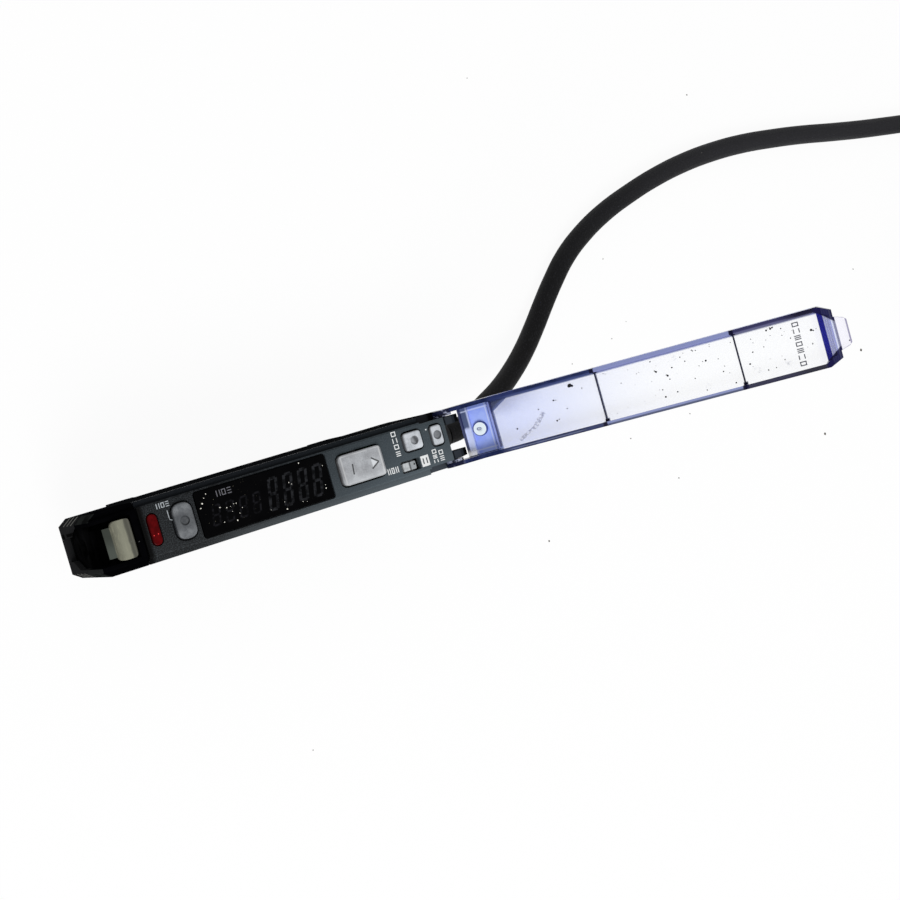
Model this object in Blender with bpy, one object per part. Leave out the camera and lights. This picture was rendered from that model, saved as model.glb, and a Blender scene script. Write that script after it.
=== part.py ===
"""Fibre optic sensor amplifier for a 35 mm DIN rail, with its clear dust cover swung open.

Frame: the origin is the centre of the flat seat that rests on the rail. +X runs along
the case from the fibre end to the cable end, +Y across it and +Z up to the panel.
Every size is in metres. The dust cover is modelled closed and then swung open.
"""
import math

import bmesh
import bpy
from mathutils import Matrix, Vector

MM = 0.001

# Case
WIDTH = 9.8 * MM
NOSE_X = -31.8 * MM             # front face, where the fibres go in
REAR_X = 30.2 * MM              # rear face, where the cable comes out
PANEL_Z = 24.0 * MM             # top of the operating panel above the rail seat
WALL = 0.9 * MM
GAP = 0.3 * MM                  # clearance round moving pieces
SNUG = 0.2 * MM                 # clearance round pieces that are held fast
COVER_WALL = 0.7 * MM
COVER_CLEAR = 0.2 * MM          # between the closed cover's walls and the crown
LEDGE_WIDTH = COVER_WALL + COVER_CLEAR  # side ledge that the closed dust cover lands on
LEDGE_DROP = 0.8 * MM
RIM_DEPTH = 1.2 * MM            # how far the panel's skirt hangs below the ledge
PANEL_PLATE = 1.2 * MM
RIM_WALL = 0.6 * MM
CROWN_CHAMFER = 0.25 * MM
NOSE_CHAMFER_X = 1.4 * MM       # upright chamfers at the nose, seen from above
NOSE_CHAMFER_Y = 1.0 * MM
NOSE_BOTTOM_Z = 6.0 * MM
NOSE_SPLIT_Z = 15.7 * MM        # seam between the glossy bezel and the tub
BEZEL_END_X = -24.55 * MM
FLOOR_Z = 3.0 * MM              # ceiling of the rail claw's channel

# Rail seat and claws
SEAT_INSET = 2.5 * MM            # from the rail's edge to the end of the seat
SEAT_RISE = 0.3 * MM            # the seat stands proud of the base round it
RAIL_WIDTH = 35.0 * MM
CLAW_DROP = 3.3 * MM            # from the seat down to the feet of the claws
CLAW_THICK = 3.4 * MM
LIP_REACH = 1.2 * MM
LIP_THICK = 1.7 * MM
CLAW_BAR_WIDTH = 4.4 * MM
CLAW_BAR_THICK = 1.3 * MM
CLAW_BAR_START = 6.5 * MM
CLAW_TAB_X = 24.6 * MM
CLAW_TAB_LENGTH = 2.6 * MM
CLAW_TRAVEL = 2.5 * MM
SPRING_WINDOW_X = 9.0 * MM
SPRING_LENGTH = 4.9 * MM
SPRING_RADIUS = 0.6 * MM
SPRING_WIRE = 0.15 * MM
SPRING_TURNS = 7
PEG_THICK = 0.6 * MM

# Dust cover, its hinge and its plate
PIVOT_X = 31.2 * MM
PIVOT_Z = 22.3 * MM
OPEN_ANGLE = math.radians(135.3)
COVER_RISE = 4.7 * MM           # top of the plate above the hinge axis
COVER_LENGTH = 65.4 * MM        # hinge axis to the end of the sloping end wall
COVER_SLOPE = 2.1 * MM
EYE_RADIUS = 1.6 * MM
ARM_TAPER = 5.2 * MM
HINGE_PIN_RADIUS = 0.5 * MM
HINGE_WALL_S = 1.9 * MM
HINGE_WALL_LOW = 2.4 * MM
HINGE_SLOPE_END = 7.2 * MM
POCKET_STEP_S = 3.5 * MM
CROSS_WALL_S = 6.95 * MM
CROSS_WALL_THICK = 0.5 * MM
CROSS_WALL_DEPTH = 0.5 * MM
RIB_PLACES = (26.1 * MM, 49.5 * MM)
RIB_THICK = 0.4 * MM
RIB_DEPTH = 0.3 * MM
BOSS_S = 4.85 * MM
BOSS_RADIUS = 1.2 * MM
BOSS_DROP = 0.45 * MM
TAB_LENGTH = 1.9 * MM
TAB_WIDTH = 5.7 * MM
TAB_TAPER = 0.6 * MM
TAB_THICK = 0.8 * MM
EAR_INNER = 2.3 * MM
EAR_OUTER = 3.6 * MM
EAR_BOTTOM_Z = 19.2 * MM
NOTCH_X = 25.7 * MM             # side notch that the cover's arms lie in when it is closed
NOTCH_Z = 20.4 * MM
SHOULDER_X = 31.8 * MM          # rear pads of the tub, below the cover's eyes
SHOULDER_BOTTOM_Z = 17.4 * MM
SHOULDER_INNER = 3.4 * MM

# Fibre end
SLOT_WIDTH = 6.6 * MM
SLOT_LOW_WIDTH = 3.8 * MM
SLOT_BOTTOM_Z = 7.6 * MM
WELL_REAR_X = -25.5 * MM
LEVER_X = -28.0 * MM
LEVER_Z = 19.0 * MM
LEVER_HUB = 1.9 * MM
LEVER_CAM = 2.3 * MM
LEVER_PIN_RADIUS = 0.6 * MM
PAD_WIDTH = 6.0 * MM
PAD_FRONT_X = -29.05 * MM
PAD_REAR_X = -26.0 * MM
PAD_RISE = 1.6 * MM
PAD_CORNER = 0.8 * MM
STEM_WIDTH = 4.6 * MM
TONGUE_X = -30.3 * MM
HOLDER_END_X = -21.6 * MM
HOLDER_TOP_Z = 15.1 * MM
FIBRE_RADIUS = 1.15 * MM
FIBRE_LEAD_IN = 0.45 * MM
FIBRE_Z = (9.2 * MM, 13.0 * MM)  # receiver below, emitter above
CLAMP_WIDTH = 4.4 * MM
DIODE_RADIUS = 1.5 * MM
DIODE_LENGTH = 4.0 * MM

# Panel fittings: centre and size along X and Y
LENS = (-22.4 * MM, 0.0, 1.55 * MM, 4.8 * MM)
SET_KEY = (-17.65 * MM, 0.0, 3.2 * MM, 5.6 * MM)
DISPLAY = (-3.8 * MM, 0.0, 22.6 * MM, 7.1 * MM)
ROCKER = (13.35 * MM, 0.0, 7.9 * MM, 5.0 * MM)
MODE_KEY = (23.55 * MM, 1.45 * MM, 3.3 * MM, 3.0 * MM)
OUTPUT_KEY = (28.2 * MM, 1.2 * MM, 2.0 * MM, 3.3 * MM)
FOOT_SHIFT = 0.65 * MM          # the feet of the two rear keys are set in from the case's wall
SELECTOR = (21.8 * MM, -2.43 * MM, 2.4 * MM, 1.35 * MM)
SELECTOR_TRAVEL = 0.6 * MM
KEY_PROUD = 0.45 * MM
KEY_TRAVEL = 0.35 * MM
KEY_EDGE = 0.2 * MM
KEY_CORNER = 0.5 * MM
SET_CORNER = 1.3 * MM
ROCKER_CORNER = 0.8 * MM
FLANGE_REACH = 0.4 * MM
FLANGE_THICK = 0.7 * MM
DIMPLE_RADIUS = 0.72 * MM
DIMPLE_DEPTH = 0.3 * MM
ROCKER_SWING = math.radians(3)
WINDOW_THICK = 0.5 * MM

# Boards and what stands on them
BOARD_THICK = 1.0 * MM
BUTTON_BOARD_Z = 17.6 * MM
SWITCH_HEIGHT = 1.4 * MM
SWITCH_SIZE = 2.4 * MM
MAIN_BOARD_Y = 1.7 * MM
MAIN_BOARD_BOTTOM_Z = 4.3 * MM
CAN_BOX = (-16.5 * MM, -7.5 * MM, -2.6 * MM, 5.5 * MM, 13.5 * MM)
CAPACITOR = (12.0 * MM, -1.0 * MM, 2.2 * MM, 5.0 * MM, 12.0 * MM)
LINK_X = -2.0 * MM
LINK_LENGTH = 7.0 * MM
LINK_HEIGHT = 2.3 * MM
LINK_THICK = 1.3 * MM
TERMINAL_LENGTH = 5.5 * MM
TERMINAL_HEIGHT = 5.6 * MM
TERMINAL_THICK = 3.4 * MM
SOCKET_X = -4.5 * MM
SOCKET_Z = 9.0 * MM
SOCKET_LENGTH = 6.4 * MM
SOCKET_HEIGHT = 2.6 * MM
SOCKET_PINS = 5

# Cable, its strain relief and its stored length
CABLE_RADIUS = 2.0 * MM
CABLE_Z = 7.5 * MM
BOOT_END_X = 38.6 * MM
BOOT_COLLAR = 3.2 * MM
BOOT_NECK = 2.6 * MM
BOOT_TIP = 2.35 * MM
BOOT_RINGS = 4
COIL_X = 207.3 * MM
COIL_Y = 2.0 * MM
COIL_MEAN_RADIUS = 22.0 * MM
COIL_TURNS = 4                  # side by side in each layer
COIL_LAYERS = 3
TAIL_START = 145                # degrees round the coil, where its end comes to lie on top
TAIL_STEP = 9
TAIL_RADIUS = 20.0 * MM
LEAD_RADIUS = 0.55 * MM
LEAD_LENGTH = 26.0 * MM
LEADS = ("brown", "black", "blue", "orange")
CABLE_ROUTE = (
    (38.9, 0.0, 7.5), (42.2, 0.3, 7.2), (46.0, 1.6, 6.5), (49.8, 3.2, 5.5), (53.9, 4.8, 4.1),
    (58.7, 7.2, 2.3), (63.9, 10.6, 0.5), (68.2, 14.3, -0.6), (72.1, 18.3, -1.1),
    (75.8, 22.1, -1.28), (80.1, 26.1, -1.28), (85.4, 29.6, -1.28), (91.8, 32.7, -1.28),
    (99.0, 35.2, -1.28), (106.6, 37.3, -1.28), (114.8, 38.9, -1.28), (123.0, 39.8, -1.28),
    (131.4, 40.1, -1.28), (139.8, 39.8, -1.28), (148.4, 39.2, -1.28), (157.1, 38.3, -1.28),
    (165.8, 37.5, -1.28), (174.2, 36.9, -1.28), (182.0, 36.4, -1.28), (188.8, 35.9, -1.28),
    (195.3, 35.4, -1.28), (201.5, 34.9, -1.28), (207.0, 34.45, -1.28), (209.9, 34.2, -1.28),
)

# Heights and half widths that follow from the sizes above
HALF = WIDTH / 2
CROWN = HALF - LEDGE_WIDTH
INSIDE = HALF - WALL
NOTCH_HALF = CROWN - GAP
REAR_INSIDE = NOTCH_HALF - WALL
LEDGE_Z = PANEL_Z - LEDGE_DROP
RIM_Z = LEDGE_Z - RIM_DEPTH
TUB_TOP_Z = RIM_Z - GAP
PANEL_X = BEZEL_END_X + GAP
PLATE_Z = PANEL_Z - PANEL_PLATE
STAND_Z = -CLAW_DROP
HOOK_X = RAIL_WIDTH / 2 + GAP
BASE_END_X = HOOK_X - SNUG * 2
BOARD_TOP_Z = BUTTON_BOARD_Z + BOARD_THICK
SWITCH_Z = BOARD_TOP_Z + GAP
SWITCH_TOP_Z = SWITCH_Z + SWITCH_HEIGHT
COVER_FREE_EDGE = LEDGE_Z + GAP - PIVOT_Z
PLATE_INNER = COVER_RISE - COVER_WALL
CLAMP_Z = HOLDER_TOP_Z + GAP
CLAMP_THICK = LEVER_Z - LEVER_CAM - GAP - CLAMP_Z
FLANGE_TOP_Z = PLATE_Z - GAP
STEM_END_Z = SWITCH_TOP_Z + KEY_TRAVEL + SNUG


def clear_scene():
    for item in list(bpy.data.objects):
        bpy.data.objects.remove(item, do_unlink=True)


def material(name, colour, roughness, metallic=0.0, alpha=1.0):
    made = bpy.data.materials.get(name)
    if made is None:
        made = bpy.data.materials.new(name)
        made.use_nodes = True
        shader = made.node_tree.nodes["Principled BSDF"]
        shader.inputs["Base Color"].default_value = (*colour, 1.0)
        shader.inputs["Roughness"].default_value = roughness
        shader.inputs["Metallic"].default_value = metallic
        shader.inputs["Alpha"].default_value = alpha
    return made


def case_black():
    return material("case_black", (0.018, 0.018, 0.02), 0.5)


def gloss_black():
    return material("gloss_black", (0.006, 0.006, 0.008), 0.18)


def charcoal():
    return material("charcoal", (0.045, 0.052, 0.065), 0.55)


def key_grey():
    return material("key_grey", (0.36, 0.36, 0.37), 0.45)


def board_green():
    return material("board_green", (0.02, 0.12, 0.05), 0.5)


def steel():
    return material("steel", (0.62, 0.62, 0.62), 0.3, 1.0)


def arc(centre_u, centre_v, radius, start, end, steps):
    """Points of an arc, angles in degrees, counter-clockwise when end is above start."""
    points = []
    for step in range(steps + 1):
        angle = math.radians(start + (end - start) * step / steps)
        points.append((centre_u + radius * math.cos(angle), centre_v + radius * math.sin(angle)))
    return points


def circle(centre_u, centre_v, radius, steps=20):
    return arc(centre_u, centre_v, radius, 0, 360 - 360 / steps, steps - 1)


def rectangle(low_u, high_u, low_v, high_v):
    return [(low_u, low_v), (high_u, low_v), (high_u, high_v), (low_u, high_v)]


def rounded(place, extra=0.0, radius=0.4 * MM, steps=3):
    """Outline of a key or its opening: centre and size, grown all round by extra."""
    centre_x, centre_y, long, wide = place
    half_u = long / 2 + extra
    half_v = wide / 2 + extra
    corner = min(radius + max(extra, 0.0), half_u * 0.98, half_v * 0.98)
    points = []
    for sign_u, sign_v, start in ((1, 1, 0), (-1, 1, 90), (-1, -1, 180), (1, -1, 270)):
        at_u = centre_x + sign_u * (half_u - corner)
        at_v = centre_y + sign_v * (half_v - corner)
        points += arc(at_u, at_v, corner, start, start + 90, steps)
    return points


def to_space(axis, u, v, along):
    if axis == "x":
        return Vector((along, u, v))
    if axis == "y":
        return Vector((u, along, v))
    return Vector((u, v, along))


def new_object(name, mesh):
    made = bpy.data.objects.new(name, mesh)
    bpy.context.scene.collection.objects.link(made)
    return made


def finish(shape, name):
    """Turns a bmesh into an object whose faces point outwards."""
    bmesh.ops.recalc_face_normals(shape, faces=shape.faces)
    mesh = bpy.data.meshes.new(name)
    shape.to_mesh(mesh)
    shape.free()
    return new_object(name, mesh)


def prism(name, outline, axis, low, high, edge=0.0):
    """Extrudes an outline along an axis, with its upper rim bevelled by edge."""
    shape = bmesh.new()
    corners = [shape.verts.new(to_space(axis, u, v, low)) for u, v in outline]
    face = shape.faces.new(corners)
    moved = bmesh.ops.extrude_face_region(shape, geom=[face])
    top = [item for item in moved["geom"] if isinstance(item, bmesh.types.BMVert)]
    bmesh.ops.translate(shape, verts=top, vec=to_space(axis, 0, 0, high - low))
    if edge > 0:
        rim = [line for line in shape.edges if all(end in top for end in line.verts)]
        bmesh.ops.bevel(shape, geom=rim, offset=edge, segments=2, profile=0.5,
                        affect="EDGES", material=-1, clamp_overlap=True)
    return finish(shape, name)


def turned(name, profile, centre, steps=24):
    """Spins a profile of (along X, radius) points, from axis to axis, about a line along X."""
    shape = bmesh.new()
    points = [shape.verts.new((along, centre[0], centre[1] + radius)) for along, radius in profile]
    lines = [shape.edges.new(pair) for pair in zip(points, points[1:])]
    bmesh.ops.spin(shape, geom=points + lines, cent=(0, centre[0], centre[1]), axis=(1, 0, 0),
                   angle=math.tau, steps=steps, use_merge=True, use_duplicate=False)
    bmesh.ops.remove_doubles(shape, verts=shape.verts, dist=0.001 * MM)
    return finish(shape, name)


def boolean(target, operation, tools):
    """Cuts, joins or intersects with each tool in turn and keeps the result as a plain mesh."""
    for tool in tools:
        tool.hide_render = True
        tool.display_type = "WIRE"
        step = target.modifiers.new("step", "BOOLEAN")
        step.operation = operation
        step.solver = "EXACT"
        step.object = tool
    bpy.context.view_layer.update()
    graph = bpy.context.evaluated_depsgraph_get()
    result = bpy.data.meshes.new_from_object(target.evaluated_get(graph))
    target.modifiers.clear()
    target.data = result
    for tool in tools:
        bpy.data.objects.remove(tool, do_unlink=True)
    return target


def cut(target, *tools):
    return boolean(target, "DIFFERENCE", tools)


def fuse(target, *tools):
    return boolean(target, "UNION", tools)


def common(target, *tools):
    return boolean(target, "INTERSECT", tools)


def dress(item, finish_material, name=None):
    """Names a finished piece, gives it its material and smooths its round faces."""
    if name:
        item.name = name
        item.data.name = name
    item.data.materials.clear()
    item.data.materials.append(finish_material)
    item.data.shade_smooth()
    item.data.set_sharp_from_angle(angle=math.radians(35))
    return item


def put_origin(item, point):
    """Moves an object's origin to a point without moving its mesh in the world."""
    item.data.transform(Matrix.Translation(-Vector(point)))
    item.location = point
    return item


def plan_with_chamfers(grow=0.0, inset=0.0, rear=REAR_X):
    """The case seen from above, with the nose's two upright chamfers."""
    half = HALF - inset
    nose = NOSE_X + inset
    return [(rear + grow, -half), (rear + grow, half), (nose + NOSE_CHAMFER_X, half),
            (nose, half - NOSE_CHAMFER_Y), (nose, -half + NOSE_CHAMFER_Y),
            (nose + NOSE_CHAMFER_X, -half)]


def top_section(bottom):
    """Section of the panel and the bezel: a crown between two side ledges."""
    right = [(HALF, bottom), (HALF, LEDGE_Z), (CROWN, LEDGE_Z), (CROWN, PANEL_Z - CROWN_CHAMFER),
             (CROWN - CROWN_CHAMFER, PANEL_Z)]
    left = [(-u, v) for u, v in reversed(right)]
    return right + left


def ear_outline():
    """Hinge ear with a slanted stop face that lies along the open cover's hinge wall."""
    along = Vector((math.cos(math.pi - OPEN_ANGLE), math.sin(math.pi - OPEN_ANGLE)))
    out = Vector((along.y, -along.x))
    pivot = Vector((PIVOT_X, PIVOT_Z))
    stop = pivot + along * (HINGE_WALL_S - GAP)
    top = stop + out * ((stop.y - PANEL_Z) / along.x)
    heel = stop + out * (HINGE_WALL_LOW + COVER_WALL * 0.6)
    under = heel - along * (0.7 * MM)
    start_x = REAR_X - WALL * 0.6
    return [(start_x, EAR_BOTTOM_Z), (REAR_X + GAP, EAR_BOTTOM_Z), tuple(under), tuple(heel),
            tuple(top), (REAR_X + GAP, PANEL_Z), (REAR_X + GAP, TUB_TOP_Z), (start_x, TUB_TOP_Z)]


def shoulder_outline():
    """Bracket-shaped pad that carries the tub's side on behind its rear wall."""
    start_x = REAR_X - WALL / 2
    slope = SHOULDER_X - REAR_X
    return [(start_x, SHOULDER_BOTTOM_Z), (REAR_X, SHOULDER_BOTTOM_Z),
            (SHOULDER_X, SHOULDER_BOTTOM_Z + slope), (SHOULDER_X, NOTCH_Z), (start_x, NOTCH_Z)]


def case_side_profile():
    """Outline of the tub from the side, with the fixed rail hook at its front."""
    half_seat = RAIL_WIDTH / 2 - SEAT_INSET
    toe = 0.7 * MM
    hook_back = -HOOK_X - CLAW_THICK
    return [
        (NOSE_X, NOSE_BOTTOM_Z), (hook_back - toe, NOSE_BOTTOM_Z), (hook_back, NOSE_BOTTOM_Z - toe),
        (hook_back, STAND_Z + toe), (hook_back + toe, STAND_Z), (-HOOK_X + LIP_REACH - toe, STAND_Z),
        (-HOOK_X + LIP_REACH, STAND_Z + toe), (-HOOK_X + LIP_REACH, STAND_Z + LIP_THICK),
        (-HOOK_X, STAND_Z + LIP_THICK), (-HOOK_X, SEAT_RISE), (-half_seat, SEAT_RISE),
        (-half_seat, 0.0), (half_seat, 0.0), (half_seat, SEAT_RISE), (BASE_END_X, SEAT_RISE),
        (BASE_END_X, FLOOR_Z), (REAR_X - toe, FLOOR_Z), (REAR_X, FLOOR_Z + toe),
        (REAR_X, TUB_TOP_Z), (PANEL_X, TUB_TOP_Z), (PANEL_X, NOSE_SPLIT_Z - GAP),
        (NOSE_X, NOSE_SPLIT_Z - GAP),
    ]


def nose_slot_outline():
    """The opening in the front wall: wide at the lever, narrow at the lower fibre hole."""
    wide = SLOT_WIDTH / 2
    low = SLOT_LOW_WIDTH / 2
    shoulder = SLOT_BOTTOM_Z + 1.4 * MM
    top = NOSE_SPLIT_Z + 1.0 * MM
    return [(-low, SLOT_BOTTOM_Z), (low, SLOT_BOTTOM_Z), (low, shoulder),
            (wide, shoulder + (wide - low) * 2.2), (wide, top), (-wide, top),
            (-wide, shoulder + (wide - low) * 2.2), (-low, shoulder)]


def make_case_body():
    body = prism("case_body", case_side_profile(), "y", -HALF, HALF)
    lowest = STAND_Z - 1.0 * MM
    highest = PANEL_Z + 1.0 * MM
    common(body, prism("plan", plan_with_chamfers(), "z", lowest, highest))
    inner_floor = FLOOR_Z + WALL
    hook_back = -HOOK_X - CLAW_THICK
    main = [(NOSE_X + WALL, NOSE_BOTTOM_Z + WALL), (hook_back + WALL, NOSE_BOTTOM_Z + WALL),
            (hook_back + WALL, inner_floor), (REAR_X - WALL, inner_floor),
            (REAR_X - WALL, NOTCH_Z - WALL), (NOTCH_X - WALL, NOTCH_Z - WALL),
            (NOTCH_X - WALL, highest), (NOSE_X + WALL, highest)]
    rear = rectangle(NOTCH_X - 2 * WALL, REAR_X - WALL, NOTCH_Z - 2 * WALL, highest)
    cut(body,
        prism("room", main, "y", -INSIDE, INSIDE),
        prism("rear_room", rear, "y", -REAR_INSIDE, REAR_INSIDE),
        prism("slot", nose_slot_outline(), "x", NOSE_X - 1.0 * MM, NOSE_X + WALL + 0.1 * MM),
        prism("cable_hole", circle(0.0, CABLE_Z, BOOT_NECK + GAP, 24), "x",
              REAR_X - 2 * WALL, REAR_X + 1.0 * MM))
    for side in (-1, 1):
        low, high = sorted((side * NOTCH_HALF, side * (HALF + 1.0 * MM)))
        notch = rectangle(NOTCH_X, REAR_X + 1.0 * MM, NOTCH_Z, highest)
        cut(body, prism("notch", notch, "y", low, high))
    bar_low, bar_high = claw_bar_heights()
    bar_half = CLAW_BAR_WIDTH / 2 + GAP
    channel = rectangle(CLAW_BAR_START - GAP * 4, BASE_END_X + 1.0 * MM, bar_low - GAP, bar_high + GAP)
    cut(body, prism("claw_channel", channel, "y", -bar_half, bar_half))
    peg_x = SPRING_WINDOW_X + SPRING_LENGTH + 2 * GAP
    peg = rectangle(peg_x, peg_x + PEG_THICK, bar_low, bar_high + GAP + 0.4 * MM)
    fuse(body, prism("spring_peg", peg, "y", -SPRING_RADIUS * 2, SPRING_RADIUS * 2))
    for side in (-1, 1):
        low, high = sorted((side * EAR_INNER, side * EAR_OUTER))
        fuse(body, prism("ear", ear_outline(), "y", low, high))
        low, high = sorted((side * SHOULDER_INNER, side * HALF))
        fuse(body, prism("shoulder", shoulder_outline(), "y", low, high))
    pin_hole = circle(PIVOT_X, PIVOT_Z, HINGE_PIN_RADIUS + GAP, 16)
    socket = rectangle(SOCKET_X - SOCKET_LENGTH / 2 - SNUG, SOCKET_X + SOCKET_LENGTH / 2 + SNUG,
                       SOCKET_Z - SOCKET_HEIGHT / 2 - SNUG, SOCKET_Z + SOCKET_HEIGHT / 2 + SNUG)
    cut(body, prism("pin_hole", pin_hole, "y", -HALF, HALF),
        prism("socket_hole", socket, "y", INSIDE - 0.5 * MM, HALF + 1.0 * MM))
    return dress(body, case_black())


def claw_bar_heights():
    """Lowest and highest level of the sliding claw's bar, inside its channel."""
    high = FLOOR_Z - GAP - 0.1 * MM
    return high - CLAW_BAR_THICK, high


def make_nose_bezel():
    bezel = prism("nose_bezel", top_section(NOSE_SPLIT_Z), "x", NOSE_X, BEZEL_END_X)
    common(bezel, prism("plan", plan_with_chamfers(), "z", NOSE_SPLIT_Z - 1.0 * MM, PANEL_Z + 1.0 * MM))
    well = rectangle(NOSE_X - 1.0 * MM, WELL_REAR_X, -SLOT_WIDTH / 2, SLOT_WIDTH / 2)
    pin_reach = SLOT_WIDTH / 2 + WALL
    hole = circle(LEVER_X, LEVER_Z, LEVER_PIN_RADIUS + GAP, 16)
    cut(bezel,
        prism("well", well, "z", NOSE_SPLIT_Z - 1.0 * MM, PANEL_Z + 1.0 * MM),
        prism("pin_hole", hole, "y", -pin_reach, pin_reach))
    return dress(bezel, gloss_black())


def make_front_panel():
    panel = prism("front_panel", top_section(RIM_Z), "x", PANEL_X, REAR_X)
    main = rectangle(PANEL_X + RIM_WALL, NOTCH_X - WALL, -INSIDE, INSIDE)
    rear_half = NOTCH_HALF - RIM_WALL
    rear = rectangle(NOTCH_X - 2 * WALL, REAR_X - RIM_WALL, -rear_half, rear_half)
    below = RIM_Z - 1.0 * MM
    above = PANEL_Z + 1.0 * MM
    cut(panel, prism("room", main, "z", below, PLATE_Z), prism("rear_room", rear, "z", below, PLATE_Z))
    for side in (-1, 1):
        low, high = sorted((side * NOTCH_HALF, side * (HALF + 1.0 * MM)))
        cut(panel, prism("notch", rectangle(NOTCH_X, REAR_X + 1.0 * MM, low, high), "z", below, above))
    window_floor = PANEL_Z - WINDOW_THICK - SNUG
    openings = [
        (rounded(LENS, SNUG, LENS[2] / 2, 4), below),
        (rounded(SET_KEY, GAP, SET_CORNER, 4), below),
        (rounded(ROCKER, GAP, ROCKER_CORNER), below),
        (rounded(MODE_KEY, GAP, KEY_CORNER), below),
        (rounded(OUTPUT_KEY, GAP, KEY_CORNER), below),
        (rounded(DISPLAY, SNUG, 0.3 * MM, 2), window_floor),
        (rounded(DISPLAY, -0.8 * MM, 0.3 * MM, 2), below),
        (rounded(selector_slot(), 0.0, 0.2 * MM, 2), below),
    ]
    for outline, floor in openings:
        cut(panel, prism("opening", outline, "z", floor, above))
    return dress(panel, charcoal())


def selector_slot():
    """The slot is longer than the knob by its travel, with clearance at both ends."""
    centre_x, centre_y, long, wide = SELECTOR
    return (centre_x + SELECTOR_TRAVEL / 2, centre_y, long + SELECTOR_TRAVEL + 2 * GAP, wide + 2 * GAP)


def make_display():
    window = prism("display_window", rounded(DISPLAY, 0.0, 0.3 * MM, 2), "z",
                   PANEL_Z - WINDOW_THICK, PANEL_Z - 0.02 * MM)
    dress(window, gloss_black())
    module = prism("display_module", rounded(DISPLAY, -1.1 * MM, 0.3 * MM, 1), "z",
                   SWITCH_Z, PANEL_Z - WINDOW_THICK - GAP)
    dress(module, material("display_dark", (0.02, 0.02, 0.022), 0.4))


def make_indicator():
    lens = prism("indicator_lens", rounded(LENS, 0.0, LENS[2] / 2, 5), "z",
                 SWITCH_Z + SWITCH_HEIGHT, PANEL_Z + 0.15 * MM, 0.12 * MM)
    foot = prism("foot", rounded(LENS, FLANGE_REACH, LENS[2] / 2, 4), "z",
                 FLANGE_TOP_Z - FLANGE_THICK, FLANGE_TOP_Z + 0.1 * MM)
    fuse(lens, foot)
    dress(lens, material("signal_red", (0.45, 0.012, 0.02), 0.25))
    lamp = rectangle(LENS[0] - 0.8 * MM, LENS[0] + 0.8 * MM, -0.6 * MM, 0.6 * MM)
    dress(prism("indicator_led", lamp, "z", SWITCH_Z, SWITCH_TOP_Z - GAP),
          material("led_white", (0.8, 0.8, 0.78), 0.4))


def make_key(name, place, corner, proud, steps, dimple_x=0.0, shift=0.0):
    """A push key: cap, retaining flange below the panel, stem and a finger dimple."""
    centre_x, centre_y, long, wide = place
    foot = (centre_x - shift, centre_y - shift, long, wide)
    cap = prism(name, rounded(place, 0.0, corner, steps), "z", FLANGE_TOP_Z - 0.1 * MM,
                PANEL_Z + proud, KEY_EDGE)
    flange = prism("flange", rounded(foot, FLANGE_REACH, corner, steps), "z",
                   FLANGE_TOP_Z - FLANGE_THICK, FLANGE_TOP_Z)
    stem = prism("stem", circle(foot[0], foot[1], 0.7 * MM, 12), "z",
                 STEM_END_Z, FLANGE_TOP_Z - FLANGE_THICK / 2)
    fuse(cap, flange, stem)
    hollow = prism("dimple", circle(centre_x + dimple_x, centre_y, DIMPLE_RADIUS, 20), "z",
                   PANEL_Z + proud - DIMPLE_DEPTH, PANEL_Z + proud + 1.0 * MM)
    cut(cap, hollow)
    return dress(cap, key_grey())


def make_keys():
    put_origin(make_key("set_button", SET_KEY, SET_CORNER, KEY_PROUD + 0.15 * MM, 4),
               (SET_KEY[0], SET_KEY[1], PANEL_Z))
    put_origin(make_key("mode_button", MODE_KEY, KEY_CORNER, KEY_PROUD, 3, 0.2 * MM, FOOT_SHIFT),
               (MODE_KEY[0], MODE_KEY[1], PANEL_Z))
    put_origin(make_key("output_button", OUTPUT_KEY, KEY_CORNER, KEY_PROUD - 0.1 * MM, 3, 0.0,
                        FOOT_SHIFT),
               (OUTPUT_KEY[0], OUTPUT_KEY[1], PANEL_Z))


def make_rocker():
    """One long key with a dished finger place at each end, swinging on two side stubs."""
    centre_x, centre_y, long, wide = ROCKER
    low = FLANGE_TOP_Z - FLANGE_THICK
    top = PANEL_Z + KEY_PROUD + 0.3 * MM
    half = long / 2
    crown = [(centre_x + half, low), (centre_x + half, top - 0.2 * MM), (centre_x + half - 0.3 * MM, top)]
    for side in (1, -1):
        dish = 0.28 * MM
        for share in (0.75, 0.5, 0.28, 0.08) if side > 0 else (0.08, 0.28, 0.5, 0.75):
            drop = dish * math.sin(math.pi * min(1.0, share / 0.9))
            crown.append((centre_x + side * half * share, top - drop))
    crown += [(centre_x - half + 0.3 * MM, top), (centre_x - half, top - 0.2 * MM), (centre_x - half, low)]
    key = prism("rocker_button", crown, "y", centre_y - wide / 2, centre_y + wide / 2)
    common(key, prism("plan", rounded(ROCKER, 0.0, ROCKER_CORNER), "z", low - 1.0 * MM, top + 1.0 * MM))
    axle_z = low + 0.45 * MM
    axle = prism("axle", circle(centre_x, axle_z, 0.45 * MM, 12), "y",
                 centre_y - wide / 2 - 0.7 * MM, centre_y + wide / 2 + 0.7 * MM)
    stems = []
    for switch_x in rocker_switch_places():
        stems.append(prism("stem", circle(switch_x, centre_y, 0.7 * MM, 12), "z",
                           STEM_END_Z, low + 0.3 * MM))
    fuse(key, axle, *stems)
    dress(key, material("rocker_grey", (0.45, 0.45, 0.46), 0.42))
    put_origin(key, (centre_x, centre_y, axle_z))


def rocker_switch_places():
    reach = ROCKER[2] / 2 - 1.4 * MM
    return ROCKER[0] - reach, ROCKER[0] + reach


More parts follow.
